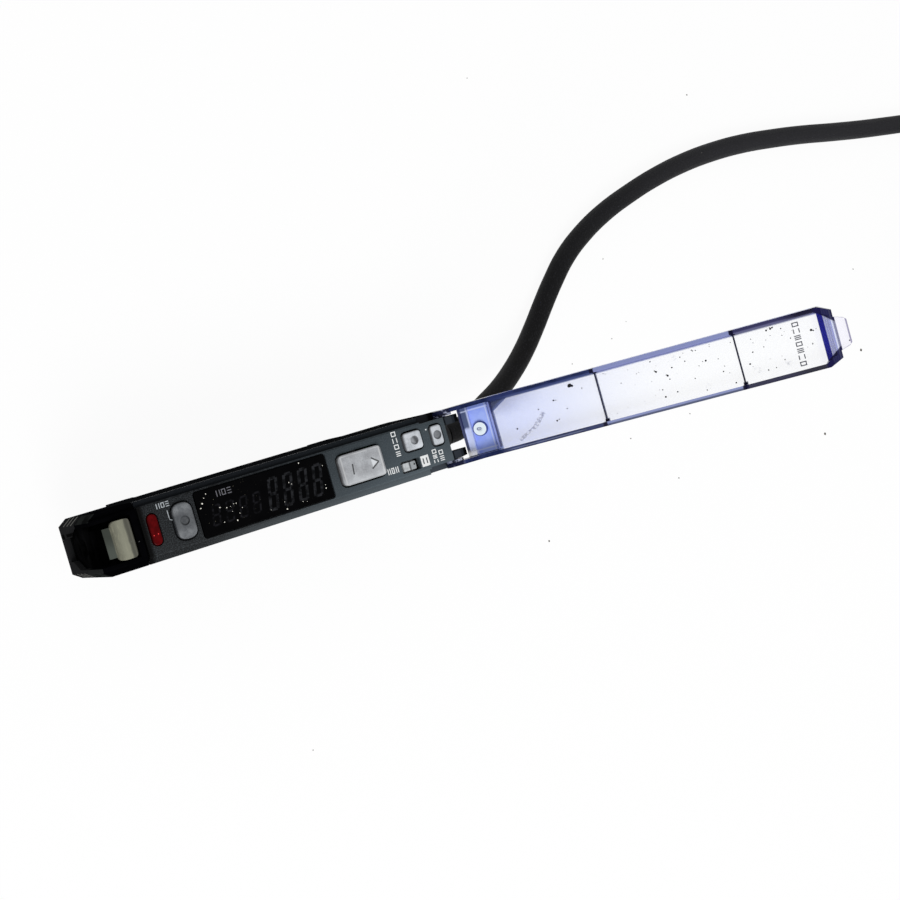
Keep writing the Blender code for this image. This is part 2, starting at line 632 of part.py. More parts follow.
def make_selector():
    centre_x, centre_y, long, wide = SELECTOR
    knob = prism("selector_knob", rounded(SELECTOR, 0.0, 0.15 * MM, 2), "z",
                 FLANGE_TOP_Z - 0.1 * MM, PANEL_Z + 0.1 * MM, 0.1 * MM)
    skirt = prism("skirt", rounded(SELECTOR, FLANGE_REACH, 0.15 * MM, 2), "z",
                  FLANGE_TOP_Z - FLANGE_THICK, FLANGE_TOP_Z)
    blade = prism("blade", rectangle(centre_x - 0.5 * MM, centre_x + 0.5 * MM,
                                     centre_y - 0.25 * MM, centre_y + 0.25 * MM), "z",
                  SWITCH_TOP_Z - 0.6 * MM, FLANGE_TOP_Z - FLANGE_THICK / 2)
    fuse(knob, skirt, blade)
    groove = rectangle(centre_x - 0.12 * MM, centre_x + 0.12 * MM, centre_y - wide, centre_y + wide)
    cut(knob, prism("groove", groove, "z", PANEL_Z - 0.1 * MM, PANEL_Z + 1.0 * MM))
    dress(knob, key_grey())
    put_origin(knob, (centre_x, centre_y, PANEL_Z))
    body_place = (centre_x + SELECTOR_TRAVEL / 2, centre_y, 5.0 * MM, 2.4 * MM)
    body = prism("selector_switch", rounded(body_place, 0.0, 0.1 * MM, 1), "z",
                 SWITCH_Z, SWITCH_TOP_Z + 0.3 * MM)
    slit = (centre_x + SELECTOR_TRAVEL / 2, centre_y,
            1.0 * MM + SELECTOR_TRAVEL + 2 * GAP, 0.5 * MM + 2 * GAP)
    cut(body, prism("slit", rounded(slit, 0.0, 0.05 * MM, 1), "z", SWITCH_TOP_Z - 1.0 * MM, PANEL_Z))
    dress(body, steel())


def make_switches():
    places = [("set_switch", SET_KEY[0], SET_KEY[1]),
              ("mode_switch", MODE_KEY[0] - FOOT_SHIFT, MODE_KEY[1] - FOOT_SHIFT),
              ("output_switch", OUTPUT_KEY[0] - FOOT_SHIFT, OUTPUT_KEY[1] - FOOT_SHIFT)]
    for name, at_x in zip(("down_switch", "up_switch"), rocker_switch_places()):
        places.append((name, at_x, ROCKER[1]))
    half = SWITCH_SIZE / 2
    for name, at_x, at_y in places:
        switch = prism(name, rectangle(at_x - half, at_x + half, at_y - half, at_y + half), "z",
                       SWITCH_Z, SWITCH_TOP_Z - 0.4 * MM)
        fuse(switch, prism("plunger", circle(at_x, at_y, 0.6 * MM, 12), "z",
                           SWITCH_Z + 0.2 * MM, SWITCH_TOP_Z))
        dress(switch, steel())


def make_boards():
    front = PANEL_X + GAP
    narrow = REAR_INSIDE - GAP
    wide = INSIDE - GAP
    step = NOTCH_X - WALL - GAP
    plan = [(front, -wide), (step, -wide), (step, -narrow), (REAR_X - WALL - GAP, -narrow),
            (REAR_X - WALL - GAP, narrow), (step, narrow), (step, wide), (front, wide)]
    dress(prism("button_board", plan, "z", BUTTON_BOARD_Z, BOARD_TOP_Z), board_green())
    main_front = HOLDER_END_X + DIODE_LENGTH + 2 * GAP
    main = rectangle(main_front, NOTCH_X - WALL, MAIN_BOARD_BOTTOM_Z, BUTTON_BOARD_Z - GAP)
    dress(prism("main_board", main, "y", MAIN_BOARD_Y, MAIN_BOARD_Y + BOARD_THICK), board_green())
    link_top = BUTTON_BOARD_Z - GAP
    header = rectangle(LINK_X, LINK_X + LINK_LENGTH, link_top - LINK_HEIGHT, link_top)
    dress(prism("board_link", header, "y", MAIN_BOARD_Y - GAP - LINK_THICK, MAIN_BOARD_Y - GAP),
          material("connector_black", (0.02, 0.02, 0.02), 0.6))


def make_board_parts():
    face = MAIN_BOARD_Y - GAP
    start, end, side, low, high = CAN_BOX
    dress(prism("shield_can", rectangle(start, end, low, high), "y", side, face), steel())
    at_x, at_y, radius, low, high = CAPACITOR
    can = prism("filter_capacitor", circle(at_x, at_y, radius, 20), "z", low, high, 0.25 * MM)
    dress(can, material("capacitor_sleeve", (0.03, 0.03, 0.08), 0.35))
    end = NOTCH_X - WALL
    low = CABLE_Z - TERMINAL_HEIGHT / 2
    block = rectangle(end - TERMINAL_LENGTH, end, low, low + TERMINAL_HEIGHT)
    terminal = prism("cable_terminal", block, "y", face - TERMINAL_THICK, face)
    for index in range(len(LEADS)):
        at_y = face - TERMINAL_THICK * (0.3 if index % 2 else 0.7)
        at_z = CABLE_Z + TERMINAL_HEIGHT * (0.25 if index // 2 else -0.25)
        cut(terminal, prism("lead_hole", circle(at_y, at_z, LEAD_RADIUS, 10), "x",
                            end - TERMINAL_LENGTH / 2, end + 1.0 * MM))
    dress(terminal, material("connector_white", (0.75, 0.74, 0.7), 0.5))
    plug = rectangle(SOCKET_X - SOCKET_LENGTH / 2, SOCKET_X + SOCKET_LENGTH / 2,
                     SOCKET_Z - SOCKET_HEIGHT / 2, SOCKET_Z + SOCKET_HEIGHT / 2)
    socket = prism("link_socket", plug, "y", MAIN_BOARD_Y + BOARD_THICK + GAP, HALF - 0.2 * MM)
    pitch = SOCKET_LENGTH / SOCKET_PINS
    for index in range(SOCKET_PINS):
        at_x = SOCKET_X + (index - (SOCKET_PINS - 1) / 2) * pitch
        hole = rectangle(at_x - pitch * 0.28, at_x + pitch * 0.28, SOCKET_Z - 0.5 * MM, SOCKET_Z + 0.5 * MM)
        cut(socket, prism("contact", hole, "y", HALF - 1.1 * MM, HALF + 1.0 * MM))
    dress(socket, material("connector_black", (0.02, 0.02, 0.02), 0.6))


def make_fibre_end():
    half = INSIDE - GAP
    front = NOSE_X + WALL + GAP
    low = NOSE_BOTTOM_Z + WALL + GAP
    holder = prism("fibre_holder", rectangle(front, HOLDER_END_X, low, HOLDER_TOP_Z), "y", -half, half)
    for at_z in FIBRE_Z:
        before = 0.2 * MM
        mouth = FIBRE_RADIUS + FIBRE_LEAD_IN + before
        end = HOLDER_END_X + 1.0 * MM
        bore = turned("bore", [(front - before, 0.0), (front - before, mouth),
                               (front + FIBRE_LEAD_IN, FIBRE_RADIUS), (end, FIBRE_RADIUS), (end, 0.0)],
                      (0.0, at_z), 20)
        cut(holder, bore)
    window = rectangle(LEVER_X - 1.5 * MM, LEVER_X + 1.5 * MM, -0.9 * MM, 0.9 * MM)
    cut(holder, prism("window", window, "z", FIBRE_Z[0], HOLDER_TOP_Z + 1.0 * MM))
    dress(holder, case_black())
    plate = rectangle(LEVER_X - 1.9 * MM, LEVER_X + 2.0 * MM, -CLAMP_WIDTH / 2, CLAMP_WIDTH / 2)
    clamp = prism("fibre_clamp", plate, "z", CLAMP_Z, CLAMP_Z + CLAMP_THICK)
    finger = rectangle(LEVER_X - 1.2 * MM, LEVER_X + 1.2 * MM, -0.6 * MM, 0.6 * MM)
    fuse(clamp, prism("finger", finger, "z", FIBRE_Z[1] + FIBRE_RADIUS, CLAMP_Z + CLAMP_THICK / 2))
    dress(clamp, steel())
    for name, at_z in (("receiver_diode", FIBRE_Z[0]), ("emitter_led", FIBRE_Z[1])):
        start = HOLDER_END_X + GAP
        diode = turned(name, [(start, 0.0), (start, DIODE_RADIUS), (start + DIODE_LENGTH, DIODE_RADIUS),
                              (start + DIODE_LENGTH, 0.0)], (0.0, at_z), 16)
        dress(diode, steel())


def make_fibre_lever():
    """Lever with a ribbed finger pad, a front tongue and a cam round its pin."""
    half_stem = STEM_WIDTH / 2
    pad_low = PANEL_Z - 0.1 * MM
    top = PANEL_Z + PAD_RISE
    pad = [(PAD_REAR_X, pad_low), (PAD_REAR_X, top - 0.9 * MM), (PAD_REAR_X - 0.25 * MM, top - 0.45 * MM),
           (PAD_REAR_X - 0.9 * MM, top - 0.1 * MM), (PAD_REAR_X - 1.6 * MM, top),
           (PAD_FRONT_X + 0.8 * MM, top - 0.3 * MM), (PAD_FRONT_X + 0.15 * MM, top - 0.9 * MM),
           (PAD_FRONT_X, top - 1.2 * MM), (PAD_FRONT_X, pad_low)]
    lever = prism("fibre_lever", pad, "y", -PAD_WIDTH / 2, PAD_WIDTH / 2)
    pad_place = ((PAD_FRONT_X + PAD_REAR_X) / 2, 0.0, PAD_REAR_X - PAD_FRONT_X, PAD_WIDTH)
    common(lever, prism("plan", rounded(pad_place, 0.0, PAD_CORNER, 4), "z", LEVER_Z, top + 1.0 * MM))
    stem = [(LEVER_X - 1.4 * MM, LEVER_Z), (LEVER_X + 1.6 * MM, LEVER_Z),
            (PAD_REAR_X - 0.5 * MM, pad_low + 0.3 * MM), (PAD_FRONT_X - 0.1 * MM, pad_low + 0.6 * MM),
            (TONGUE_X + 0.2 * MM, pad_low + 0.5 * MM), (TONGUE_X, pad_low + 0.2 * MM),
            (TONGUE_X, pad_low - 0.4 * MM), (PAD_FRONT_X - 0.3 * MM, pad_low - 0.8 * MM)]
    hub = arc(LEVER_X, LEVER_Z, LEVER_HUB, -40, 220, 16) + arc(LEVER_X, LEVER_Z, LEVER_CAM, 240, 300, 4)
    fuse(lever, prism("stem", stem, "y", -half_stem, half_stem),
         prism("hub", hub, "y", -half_stem, half_stem))
    cut(lever, prism("bore", circle(LEVER_X, LEVER_Z, LEVER_PIN_RADIUS + GAP, 16), "y", -HALF, HALF))
    dress(lever, material("aged_white", (0.58, 0.57, 0.5), 0.4))
    put_origin(lever, (LEVER_X, 0.0, LEVER_Z))
    reach = SLOT_WIDTH / 2 + WALL - GAP
    pin = prism("lever_pin", circle(LEVER_X, LEVER_Z, LEVER_PIN_RADIUS, 16), "y", -reach, reach)
    dress(pin, steel())


def make_din_claw():
    """Sliding rail claw: hook, bar with a spring window, and a pull tab for a screwdriver."""
    low, high = claw_bar_heights()
    toe = 0.7 * MM
    hook = [(HOOK_X, low), (HOOK_X, STAND_Z + LIP_THICK), (HOOK_X - LIP_REACH, STAND_Z + LIP_THICK),
            (HOOK_X - LIP_REACH, STAND_Z + toe), (HOOK_X - LIP_REACH + toe, STAND_Z),
            (HOOK_X + CLAW_THICK - toe, STAND_Z), (HOOK_X + CLAW_THICK, STAND_Z + toe),
            (HOOK_X + CLAW_THICK, high), (HOOK_X, high)]
    claw = prism("din_claw", hook, "y", -HALF, HALF)
    tab_end = CLAW_TAB_X + CLAW_TAB_LENGTH
    bar = rectangle(CLAW_BAR_START, tab_end, low, high)
    tab = rectangle(CLAW_TAB_X, tab_end, low - 2.4 * MM, high)
    half = CLAW_BAR_WIDTH / 2
    fuse(claw, prism("bar", bar, "y", -half, half), prism("tab", tab, "y", -half, half))
    peg_end = SPRING_WINDOW_X + SPRING_LENGTH + 2 * GAP + PEG_THICK
    window = rectangle(SPRING_WINDOW_X, peg_end + GAP, -SPRING_RADIUS * 2 - GAP, SPRING_RADIUS * 2 + GAP)
    slot = rectangle(-1.1 * MM, 1.1 * MM, low - 1.7 * MM, low - 0.5 * MM)
    cut(claw, prism("window", window, "z", low - 1.0 * MM, high + 1.0 * MM),
        prism("slot", slot, "x", CLAW_TAB_X - 1.0 * MM, tab_end + 1.0 * MM))
    dress(claw, case_black())
    put_origin(claw, (HOOK_X, 0.0, 0.0))


def tube(name, points, radius, finish_material, sides_setting=2):
    """A round cord or wire along a list of points, with capped ends."""
    curve = bpy.data.curves.new(name, "CURVE")
    curve.dimensions = "3D"
    curve.bevel_depth = radius
    curve.bevel_resolution = sides_setting
    curve.use_fill_caps = True
    spline = curve.splines.new("POLY")
    spline.points.add(len(points) - 1)
    for target, point in zip(spline.points, points):
        target.co = (*point, 1.0)
    curve.materials.append(finish_material)
    return new_object(name, curve)


def make_din_spring():
    low, high = claw_bar_heights()
    start = SPRING_WINDOW_X + GAP
    points = []
    count = SPRING_TURNS * 10
    length = SPRING_LENGTH - 2 * SPRING_WIRE
    for step in range(count + 1):
        angle = math.tau * SPRING_TURNS * step / count
        points.append((start + SPRING_WIRE + length * step / count, SPRING_RADIUS * math.cos(angle),
                       (low + high) / 2 + SPRING_RADIUS * math.sin(angle)))
    tube("din_spring", points, SPRING_WIRE, steel(), 1)


def cover_point(s, h):
    """A point of the closed cover: s from the hinge towards the nose, h above the hinge."""
    return PIVOT_X - s, PIVOT_Z + h


def cover_outline(points):
    return [cover_point(s, h) for s, h in points]


def cover_outer():
    """Side outline of the cover with its hinge eyes, its sloping hinge end and tip."""
    edge = COVER_FREE_EDGE
    tip = COVER_LENGTH
    hinge_top = HINGE_WALL_LOW + COVER_WALL
    eye = arc(0.0, 0.0, EYE_RADIUS, 90, 270, 12)
    return eye + [(ARM_TAPER, edge), (tip, edge), (tip, COVER_RISE - COVER_SLOPE),
                  (tip - COVER_SLOPE, COVER_RISE), (HINGE_SLOPE_END, COVER_RISE),
                  (HINGE_WALL_S, hinge_top + 0.2 * MM)]


def cover_inner():
    """Outline of the space inside the cover, open below and towards the hinge."""
    edge = COVER_FREE_EDGE - 4.0 * MM
    tip = COVER_LENGTH - COVER_WALL
    behind = HINGE_WALL_S + COVER_WALL * 0.8
    low_roof = HINGE_WALL_LOW + 0.15 * MM
    step = POCKET_STEP_S
    return [(-4.0 * MM, edge), (tip, edge), (tip, PLATE_INNER - COVER_SLOPE),
            (tip - COVER_SLOPE, PLATE_INNER), (HINGE_SLOPE_END, PLATE_INNER),
            (step + 0.1 * MM, PLATE_INNER - 0.75 * MM), (step, low_roof + 0.1 * MM),
            (behind, low_roof), (behind, HINGE_WALL_LOW), (HINGE_WALL_S, HINGE_WALL_LOW),
            (HINGE_WALL_S, COVER_RISE + 1.0 * MM), (-4.0 * MM, COVER_RISE + 1.0 * MM)]


def cover_plan(inset):
    """Cover seen from above: straight sides and a tip with two chamfered corners."""
    half = HALF - inset
    tip = cover_point(COVER_LENGTH - inset, 0)[0]
    start = cover_point(-5.0 * MM, 0)[0]
    shoulder = tip + COVER_SLOPE
    return [(start, -half), (start, half), (shoulder, half), (tip, half - NOSE_CHAMFER_Y),
            (tip, -half + NOSE_CHAMFER_Y), (shoulder, -half)]


def make_dust_cover():
    low = PIVOT_Z - 5.0 * MM
    high = PIVOT_Z + 8.0 * MM
    cover = prism("dust_cover", cover_outline(cover_outer()), "y", -HALF, HALF)
    common(cover, prism("plan", cover_plan(0.0), "z", low, high))
    inside = HALF - COVER_WALL
    room = prism("room", cover_outline(cover_inner()), "y", -inside, inside)
    common(room, prism("room_plan", cover_plan(COVER_WALL), "z", low, high))
    cut(cover, room)
    ribs = []
    for place in RIB_PLACES:
        ribs.append((place - RIB_THICK / 2, place + RIB_THICK / 2, PLATE_INNER - RIB_DEPTH))
    ribs.append((CROSS_WALL_S, CROSS_WALL_S + CROSS_WALL_THICK, PLATE_INNER - CROSS_WALL_DEPTH))
    for start, end, bottom in ribs:
        outline = cover_outline(rectangle(start, end, bottom, PLATE_INNER + COVER_WALL / 2))
        fuse(cover, prism("rib", outline, "y", -inside - COVER_WALL / 2, inside + COVER_WALL / 2))
    boss_x, boss_z = cover_point(BOSS_S, PLATE_INNER - 0.5 * MM - BOSS_DROP)
    fuse(cover, prism("boss", circle(boss_x, 0.0, BOSS_RADIUS, 24), "z", boss_z, PIVOT_Z + PLATE_INNER))
    dent = prism("dent", circle(boss_x, 0.0, BOSS_RADIUS * 0.35, 12), "z",
                 boss_z - 1.0 * MM, boss_z + 0.15 * MM)
    cut(cover, dent)
    tab_place = cover_point(COVER_LENGTH - COVER_WALL / 2, 0)[0]
    end = cover_point(COVER_LENGTH + TAB_LENGTH, 0)[0]
    half_tab = TAB_WIDTH / 2
    corner = 0.4 * MM
    narrow = half_tab - TAB_TAPER
    tab = [(tab_place, -half_tab), (tab_place, half_tab), (end + corner, narrow),
           (end, narrow - corner), (end, -narrow + corner), (end + corner, -narrow)]
    bottom = PIVOT_Z + COVER_FREE_EDGE
    fuse(cover, prism("tab", tab, "z", bottom, bottom + TAB_THICK))
    for side in (-1, 1):
        inner, outer = sorted((side * (EAR_INNER + GAP), side * (HALF - COVER_WALL / 2)))
        fuse(cover, prism("pin", circle(PIVOT_X, PIVOT_Z, HINGE_PIN_RADIUS, 12), "y", inner, outer))
    pivot = Vector((PIVOT_X, 0.0, PIVOT_Z))
    swing = Matrix.Translation(pivot) @ Matrix.Rotation(OPEN_ANGLE, 4, "Y") @ Matrix.Translation(-pivot)
    cover.data.transform(swing)
    dress(cover, material("clear_blue", (0.62, 0.64, 0.86), 0.08, 0.0, 0.45))
    put_origin(cover, tuple(pivot))


def make_cable_boot():
    """Strain relief: flange inside the rear wall, neck through it, collar and rings outside."""
    wall_in = REAR_X - WALL
    profile = [(wall_in - GAP - 0.9 * MM, 0.0), (wall_in - GAP - 0.9 * MM, BOOT_COLLAR),
               (wall_in - GAP, BOOT_COLLAR), (wall_in - GAP, BOOT_NECK), (REAR_X + GAP, BOOT_NECK),
               (REAR_X + GAP, BOOT_COLLAR), (REAR_X + GAP + 1.2 * MM, BOOT_COLLAR)]
    start = REAR_X + GAP + 1.2 * MM
    pitch = (BOOT_END_X - start) / BOOT_RINGS
    for ring in range(BOOT_RINGS):
        at_x = start + ring * pitch
        outer = BOOT_COLLAR - 0.2 * MM + (BOOT_TIP - BOOT_COLLAR + 0.2 * MM) * (ring + 1) / BOOT_RINGS
        groove = min(outer - 0.25 * MM, CABLE_RADIUS + 0.15 * MM)
        profile += [(at_x, groove), (at_x + pitch * 0.35, groove), (at_x + pitch * 0.35, outer),
                    (at_x + pitch, outer)]
    profile.append((BOOT_END_X, 0.0))
    boot = turned("cable_boot", profile, (0.0, CABLE_Z), 20)
    dress(boot, material("soft_black", (0.015, 0.015, 0.016), 0.7))


def make_cable():
    black = material("cable_black", (0.012, 0.012, 0.013), 0.65)
    route = [Vector(point) * MM for point in CABLE_ROUTE]
    tube("cable", route, CABLE_RADIUS, black)
    outer = COIL_MEAN_RADIUS + COIL_TURNS * CABLE_RADIUS
    inner = COIL_MEAN_RADIUS - COIL_TURNS * CABLE_RADIUS
    shape = bmesh.new()
    top = STAND_Z + COIL_LAYERS * 2 * CABLE_RADIUS
    edge = 0.8 * MM
    section = [(inner + edge, STAND_Z), (outer - edge, STAND_Z), (outer, STAND_Z + edge),
               (outer, top - edge), (outer - edge, top), (inner + edge, top),
               (inner, top - edge), (inner, STAND_Z + edge)]
    corners = [shape.verts.new((COIL_X + radius, COIL_Y, at_z)) for radius, at_z in section]
    lines = [shape.edges.new(pair) for pair in zip(corners, corners[1:] + corners[:1])]
    bmesh.ops.spin(shape, geom=corners + lines, cent=(COIL_X, COIL_Y, 0.0), axis=(0, 0, 1),
                   angle=math.tau, steps=36, use_merge=True, use_duplicate=False)
    dress(finish(shape, "cable_coil"), black)
    tail_z = top + CABLE_RADIUS + GAP
    tail = []
    for step in range(8):
        angle = math.radians(TAIL_START - step * TAIL_STEP)
        tail.append((COIL_X + TAIL_RADIUS * math.cos(angle),
                     COIL_Y + TAIL_RADIUS * math.sin(angle), tail_z))
    tube("cable_tail", tail, CABLE_RADIUS, black)
    make_leads(top, TAIL_START - 7 * TAIL_STEP)


def make_leads(coil_top, start_angle):
    """Four bare-ended leads that fan out on the coil from the end of the jacket."""
    colours = {"brown": (0.16, 0.06, 0.03), "black": (0.02, 0.02, 0.02), "blue": (0.03, 0.09, 0.4),
               "orange": (0.7, 0.22, 0.03)}
    pitch = 2 * LEAD_RADIUS + GAP
    for index, colour in enumerate(LEADS):
        aside = (index - (len(LEADS) - 1) / 2) * 0.85 * MM
        spread = (index - (len(LEADS) - 1) / 2) * (pitch + 0.6 * MM)
        points = []
        for step in range(9):
            share = step / 8
            angle = math.radians(start_angle) - (GAP + share * LEAD_LENGTH) / TAIL_RADIUS
            radius = TAIL_RADIUS + aside * 1.65 + (spread - aside * 1.65) * share
            height = coil_top + GAP + LEAD_RADIUS + 1.4 * MM * (1 - share) ** 2
            points.append((COIL_X + radius * math.cos(angle), COIL_Y + radius * math.sin(angle), height))
        tube("lead_" + colour, points, LEAD_RADIUS, material("lead_" + colour, colours[colour], 0.45))


def build():
    clear_scene()
    make_case_body()
    make_nose_bezel()
    make_front_panel()
    make_display()
    make_indicator()
    make_keys()
    make_rocker()
    make_selector()
    make_switches()
    make_boards()
    make_board_parts()
    make_fibre_end()
    make_fibre_lever()
    make_din_claw()
    make_din_spring()
    make_dust_cover()
    make_cable_boot()
    make_cable()


build()
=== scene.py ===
# %% [markdown]
# # A fibre optic sensor amplifier, dressed for its portrait
# The real object is a slim electronics module that clips on a DIN rail. Light comes and goes
# through two plastic fibres at its nose, and a clear dust cover hinges over the buttons.
# The solid shapes come from a CAD model. This lesson adds what a camera sees: paint, print,
# dust, the wound cable and the soft light of a photo table.

# %% Load the frame
import math
import random

import bmesh
import bpy
from mathutils import Matrix, Vector


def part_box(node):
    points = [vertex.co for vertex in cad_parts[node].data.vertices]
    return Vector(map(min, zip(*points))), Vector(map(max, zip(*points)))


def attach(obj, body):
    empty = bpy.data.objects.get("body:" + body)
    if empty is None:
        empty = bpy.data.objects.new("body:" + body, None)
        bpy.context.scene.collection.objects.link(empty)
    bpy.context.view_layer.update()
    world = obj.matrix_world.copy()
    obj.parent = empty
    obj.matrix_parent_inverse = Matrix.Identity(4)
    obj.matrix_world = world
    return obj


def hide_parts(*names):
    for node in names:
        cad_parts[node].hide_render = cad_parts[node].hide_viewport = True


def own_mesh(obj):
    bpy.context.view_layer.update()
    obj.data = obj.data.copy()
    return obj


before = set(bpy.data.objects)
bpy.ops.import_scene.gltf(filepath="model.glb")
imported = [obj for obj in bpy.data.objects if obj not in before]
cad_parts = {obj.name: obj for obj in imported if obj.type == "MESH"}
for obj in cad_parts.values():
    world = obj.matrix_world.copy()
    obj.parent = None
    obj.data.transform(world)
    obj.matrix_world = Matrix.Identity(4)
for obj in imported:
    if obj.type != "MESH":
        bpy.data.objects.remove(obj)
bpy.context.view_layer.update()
MM = 0.001

# %% [markdown]
# ## The camera
# The photographer stood over the nose end and looked down at about 61 degrees. The place and
# the turn of the camera were worked out from the object's corners in the picture, so they are
# simply written down here as three unit axes: right, up and back.

# %% Camera
CAMERA_PLACE = Vector((-0.08909, 0.01181, 0.24415))
CAMERA_AXES = Matrix(((0.83955, 0.26413, -0.47475),
                      (-0.2714, 0.96091, 0.05467),
                      (0.47063, 0.08295, 0.87842)))
lens_data = bpy.data.cameras.new("photo_camera")
lens_data.lens = 60
lens_data.sensor_width = 36
lens_data.clip_start = 0.001
camera = bpy.data.objects.new("photo_camera", lens_data)
camera.matrix_world = Matrix.Translation(CAMERA_PLACE) @ CAMERA_AXES.to_4x4()
bpy.context.scene.collection.objects.link(camera)
bpy.context.scene.camera = camera
bpy.context.scene.view_settings.view_transform = "Standard"
print("camera height above the rail seat, mm:", round(CAMERA_PLACE.z / MM))

# %% [markdown]
# ## The cable's route
# The real cable leaves the rear of the case through a rubber sleeve, bends away behind the
# open cover and runs out of the picture. It is 2 m long, so the rest is wound up as it comes
# out of its bag. A cable can be made as a curve with a round section: one open line of points
# is all that has to be right. The first part of the route is the CAD cable's own.

# %% Points of the free run, in millimetres
FREE_RUN = (
    (38.9, 0.0, 7.5), (42.2, 0.3, 7.2), (46.0, 1.6, 6.5), (49.8, 3.2, 5.5), (53.9, 4.8, 4.1),
    (58.7, 7.2, 2.3), (63.9, 10.6, 0.5), (68.2, 14.3, -0.6), (72.1, 18.3, -1.1),
    (75.8, 22.1, -1.28), (80.1, 26.1, -1.28), (85.4, 29.6, -1.28), (91.8, 32.7, -1.28),
    (99.0, 35.2, -1.28), (106.6, 37.3, -1.28), (114.8, 38.9, -1.28), (123.0, 39.8, -1.28),
    (131.4, 40.1, -1.28), (139.8, 39.8, -1.28), (148.4, 39.2, -1.28), (157.1, 38.3, -1.28),
    (165.8, 37.5, -1.28), (174.2, 36.9, -1.28), (182.0, 36.4, -1.28), (188.8, 35.9, -1.28),
    (195.3, 35.4, -1.28), (201.5, 34.9, -1.28), (207.0, 34.45, -1.28),
)
CABLE_WIDTH = 4.0
COIL_CENTRE = (207.3, 2.0)
COIL_OUTER = 30.4
COIL_INNER = 14.4
FLOOR_LEVEL = -3.3


def ease(share):
    """0 to 1 with a gentle start and end."""
    share = min(1.0, max(0.0, share))
    return share * share * (3 - 2 * share)


print("free run points:", len(FREE_RUN))

# %% [markdown]
# ## Winding the coil
# The turns lie side by side, one cable width apart: the first layer winds inwards, the second
# outwards on top of it and the third inwards again. Between the layers the cable climbs by
# its own width over a quarter of a turn. The tail lies on top of the bundle at its middle
# radius. Angles are in degrees and run clockwise from where the cable arrives.

# %% Coil
ARRIVAL = 85.4
STEP = 20
LAYER_STEPS = (72, 72, 69)
CLIMB = 90
EASE_IN = 80
TAIL_RADIUS = 20.0
TAIL_LEVEL = 11.0


def on_coil(turned, radius, height):
    """A point of the coil, turned by some degrees from where the cable arrives."""
    angle = math.radians(ARRIVAL - turned)
    return (COIL_CENTRE[0] + radius * math.cos(angle), COIL_CENTRE[1] + radius * math.sin(angle), height)


def wind_coil():
    level = FLOOR_LEVEL + CABLE_WIDTH / 2
    lead_in = math.hypot(FREE_RUN[-1][0] - COIL_CENTRE[0], FREE_RUN[-1][1] - COIL_CENTRE[1]) - COIL_OUTER
    points = []
    turned = 0
    for layer, steps in enumerate(LAYER_STEPS):
        first, way = ((COIL_OUTER, -1), (COIL_INNER, 1))[layer % 2]
        for step in range(1, steps + 1):
            angle = step * STEP
            radius = first + way * CABLE_WIDTH * angle / 360
            if layer == 0:
                radius += lead_in * (1 - ease(angle / EASE_IN))
            points.append(on_coil(turned + angle, radius, level))
        turned += steps * STEP
        if layer < len(LAYER_STEPS) - 1:
            for part in (0.25, 0.5, 0.75, 1.0):
                points.append(on_coil(turned + CLIMB * part, radius, level + CABLE_WIDTH * ease(part)))
            turned += CLIMB
            level += CABLE_WIDTH
    for angle in range(15, 181, 15):
        out = ease((angle - 50) / 130)
        points.append(on_coil(turned + angle, radius + (TAIL_RADIUS - radius) * out,
                              level + (TAIL_LEVEL - level) * ease(angle / EASE_IN)))
    for angle in range(189, 244, 9):
        points.append(on_coil(turned + angle, TAIL_RADIUS, TAIL_LEVEL))
    return points


cable_points = [Vector(point) * MM for point in list(FREE_RUN) + wind_coil()]

# %% [markdown]
# ## The cable itself
# A Bezier curve with automatic handles passes smoothly through every point, which a plain
# polyline doesn't. The curve gets a round bevel and closed ends.

# %% Cable
SMOOTH_STEPS = 4


def line_through(name, points, radius):
    data = bpy.data.curves.new(name, "CURVE")
    data.dimensions = "3D"
    data.bevel_depth = 1.0
    data.bevel_resolution = SMOOTH_STEPS
    data.use_fill_caps = True
    data.resolution_u = SMOOTH_STEPS
    data.render_resolution_u = SMOOTH_STEPS
    spline = data.splines.new("BEZIER")
    spline.bezier_points.add(len(points) - 1)
    for knot, point in zip(spline.bezier_points, points):
        knot.co = point
        knot.radius = radius
        knot.handle_left_type = "AUTO"
        knot.handle_right_type = "AUTO"
    made = bpy.data.objects.new(name, data)
    bpy.context.scene.collection.objects.link(made)
    return made


cable = line_through("cable_run", cable_points, CABLE_WIDTH / 2 * MM)
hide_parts("cable", "cable_coil", "cable_tail")
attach(cable, "amplifier")

# %% [markdown]
# ## Floor and light
# The real picture was taken on a white sheet under a soft lamp, so its ground is nearly white
# and holds almost no shadow. Turning the lamp up would burn out the pale keys, so the floor
# shows a plain white to the camera and a little of its own lit colour, which keeps a faint
# shadow of the object. Everything else is lit at a plain level, where a colour renders as it is
# written.

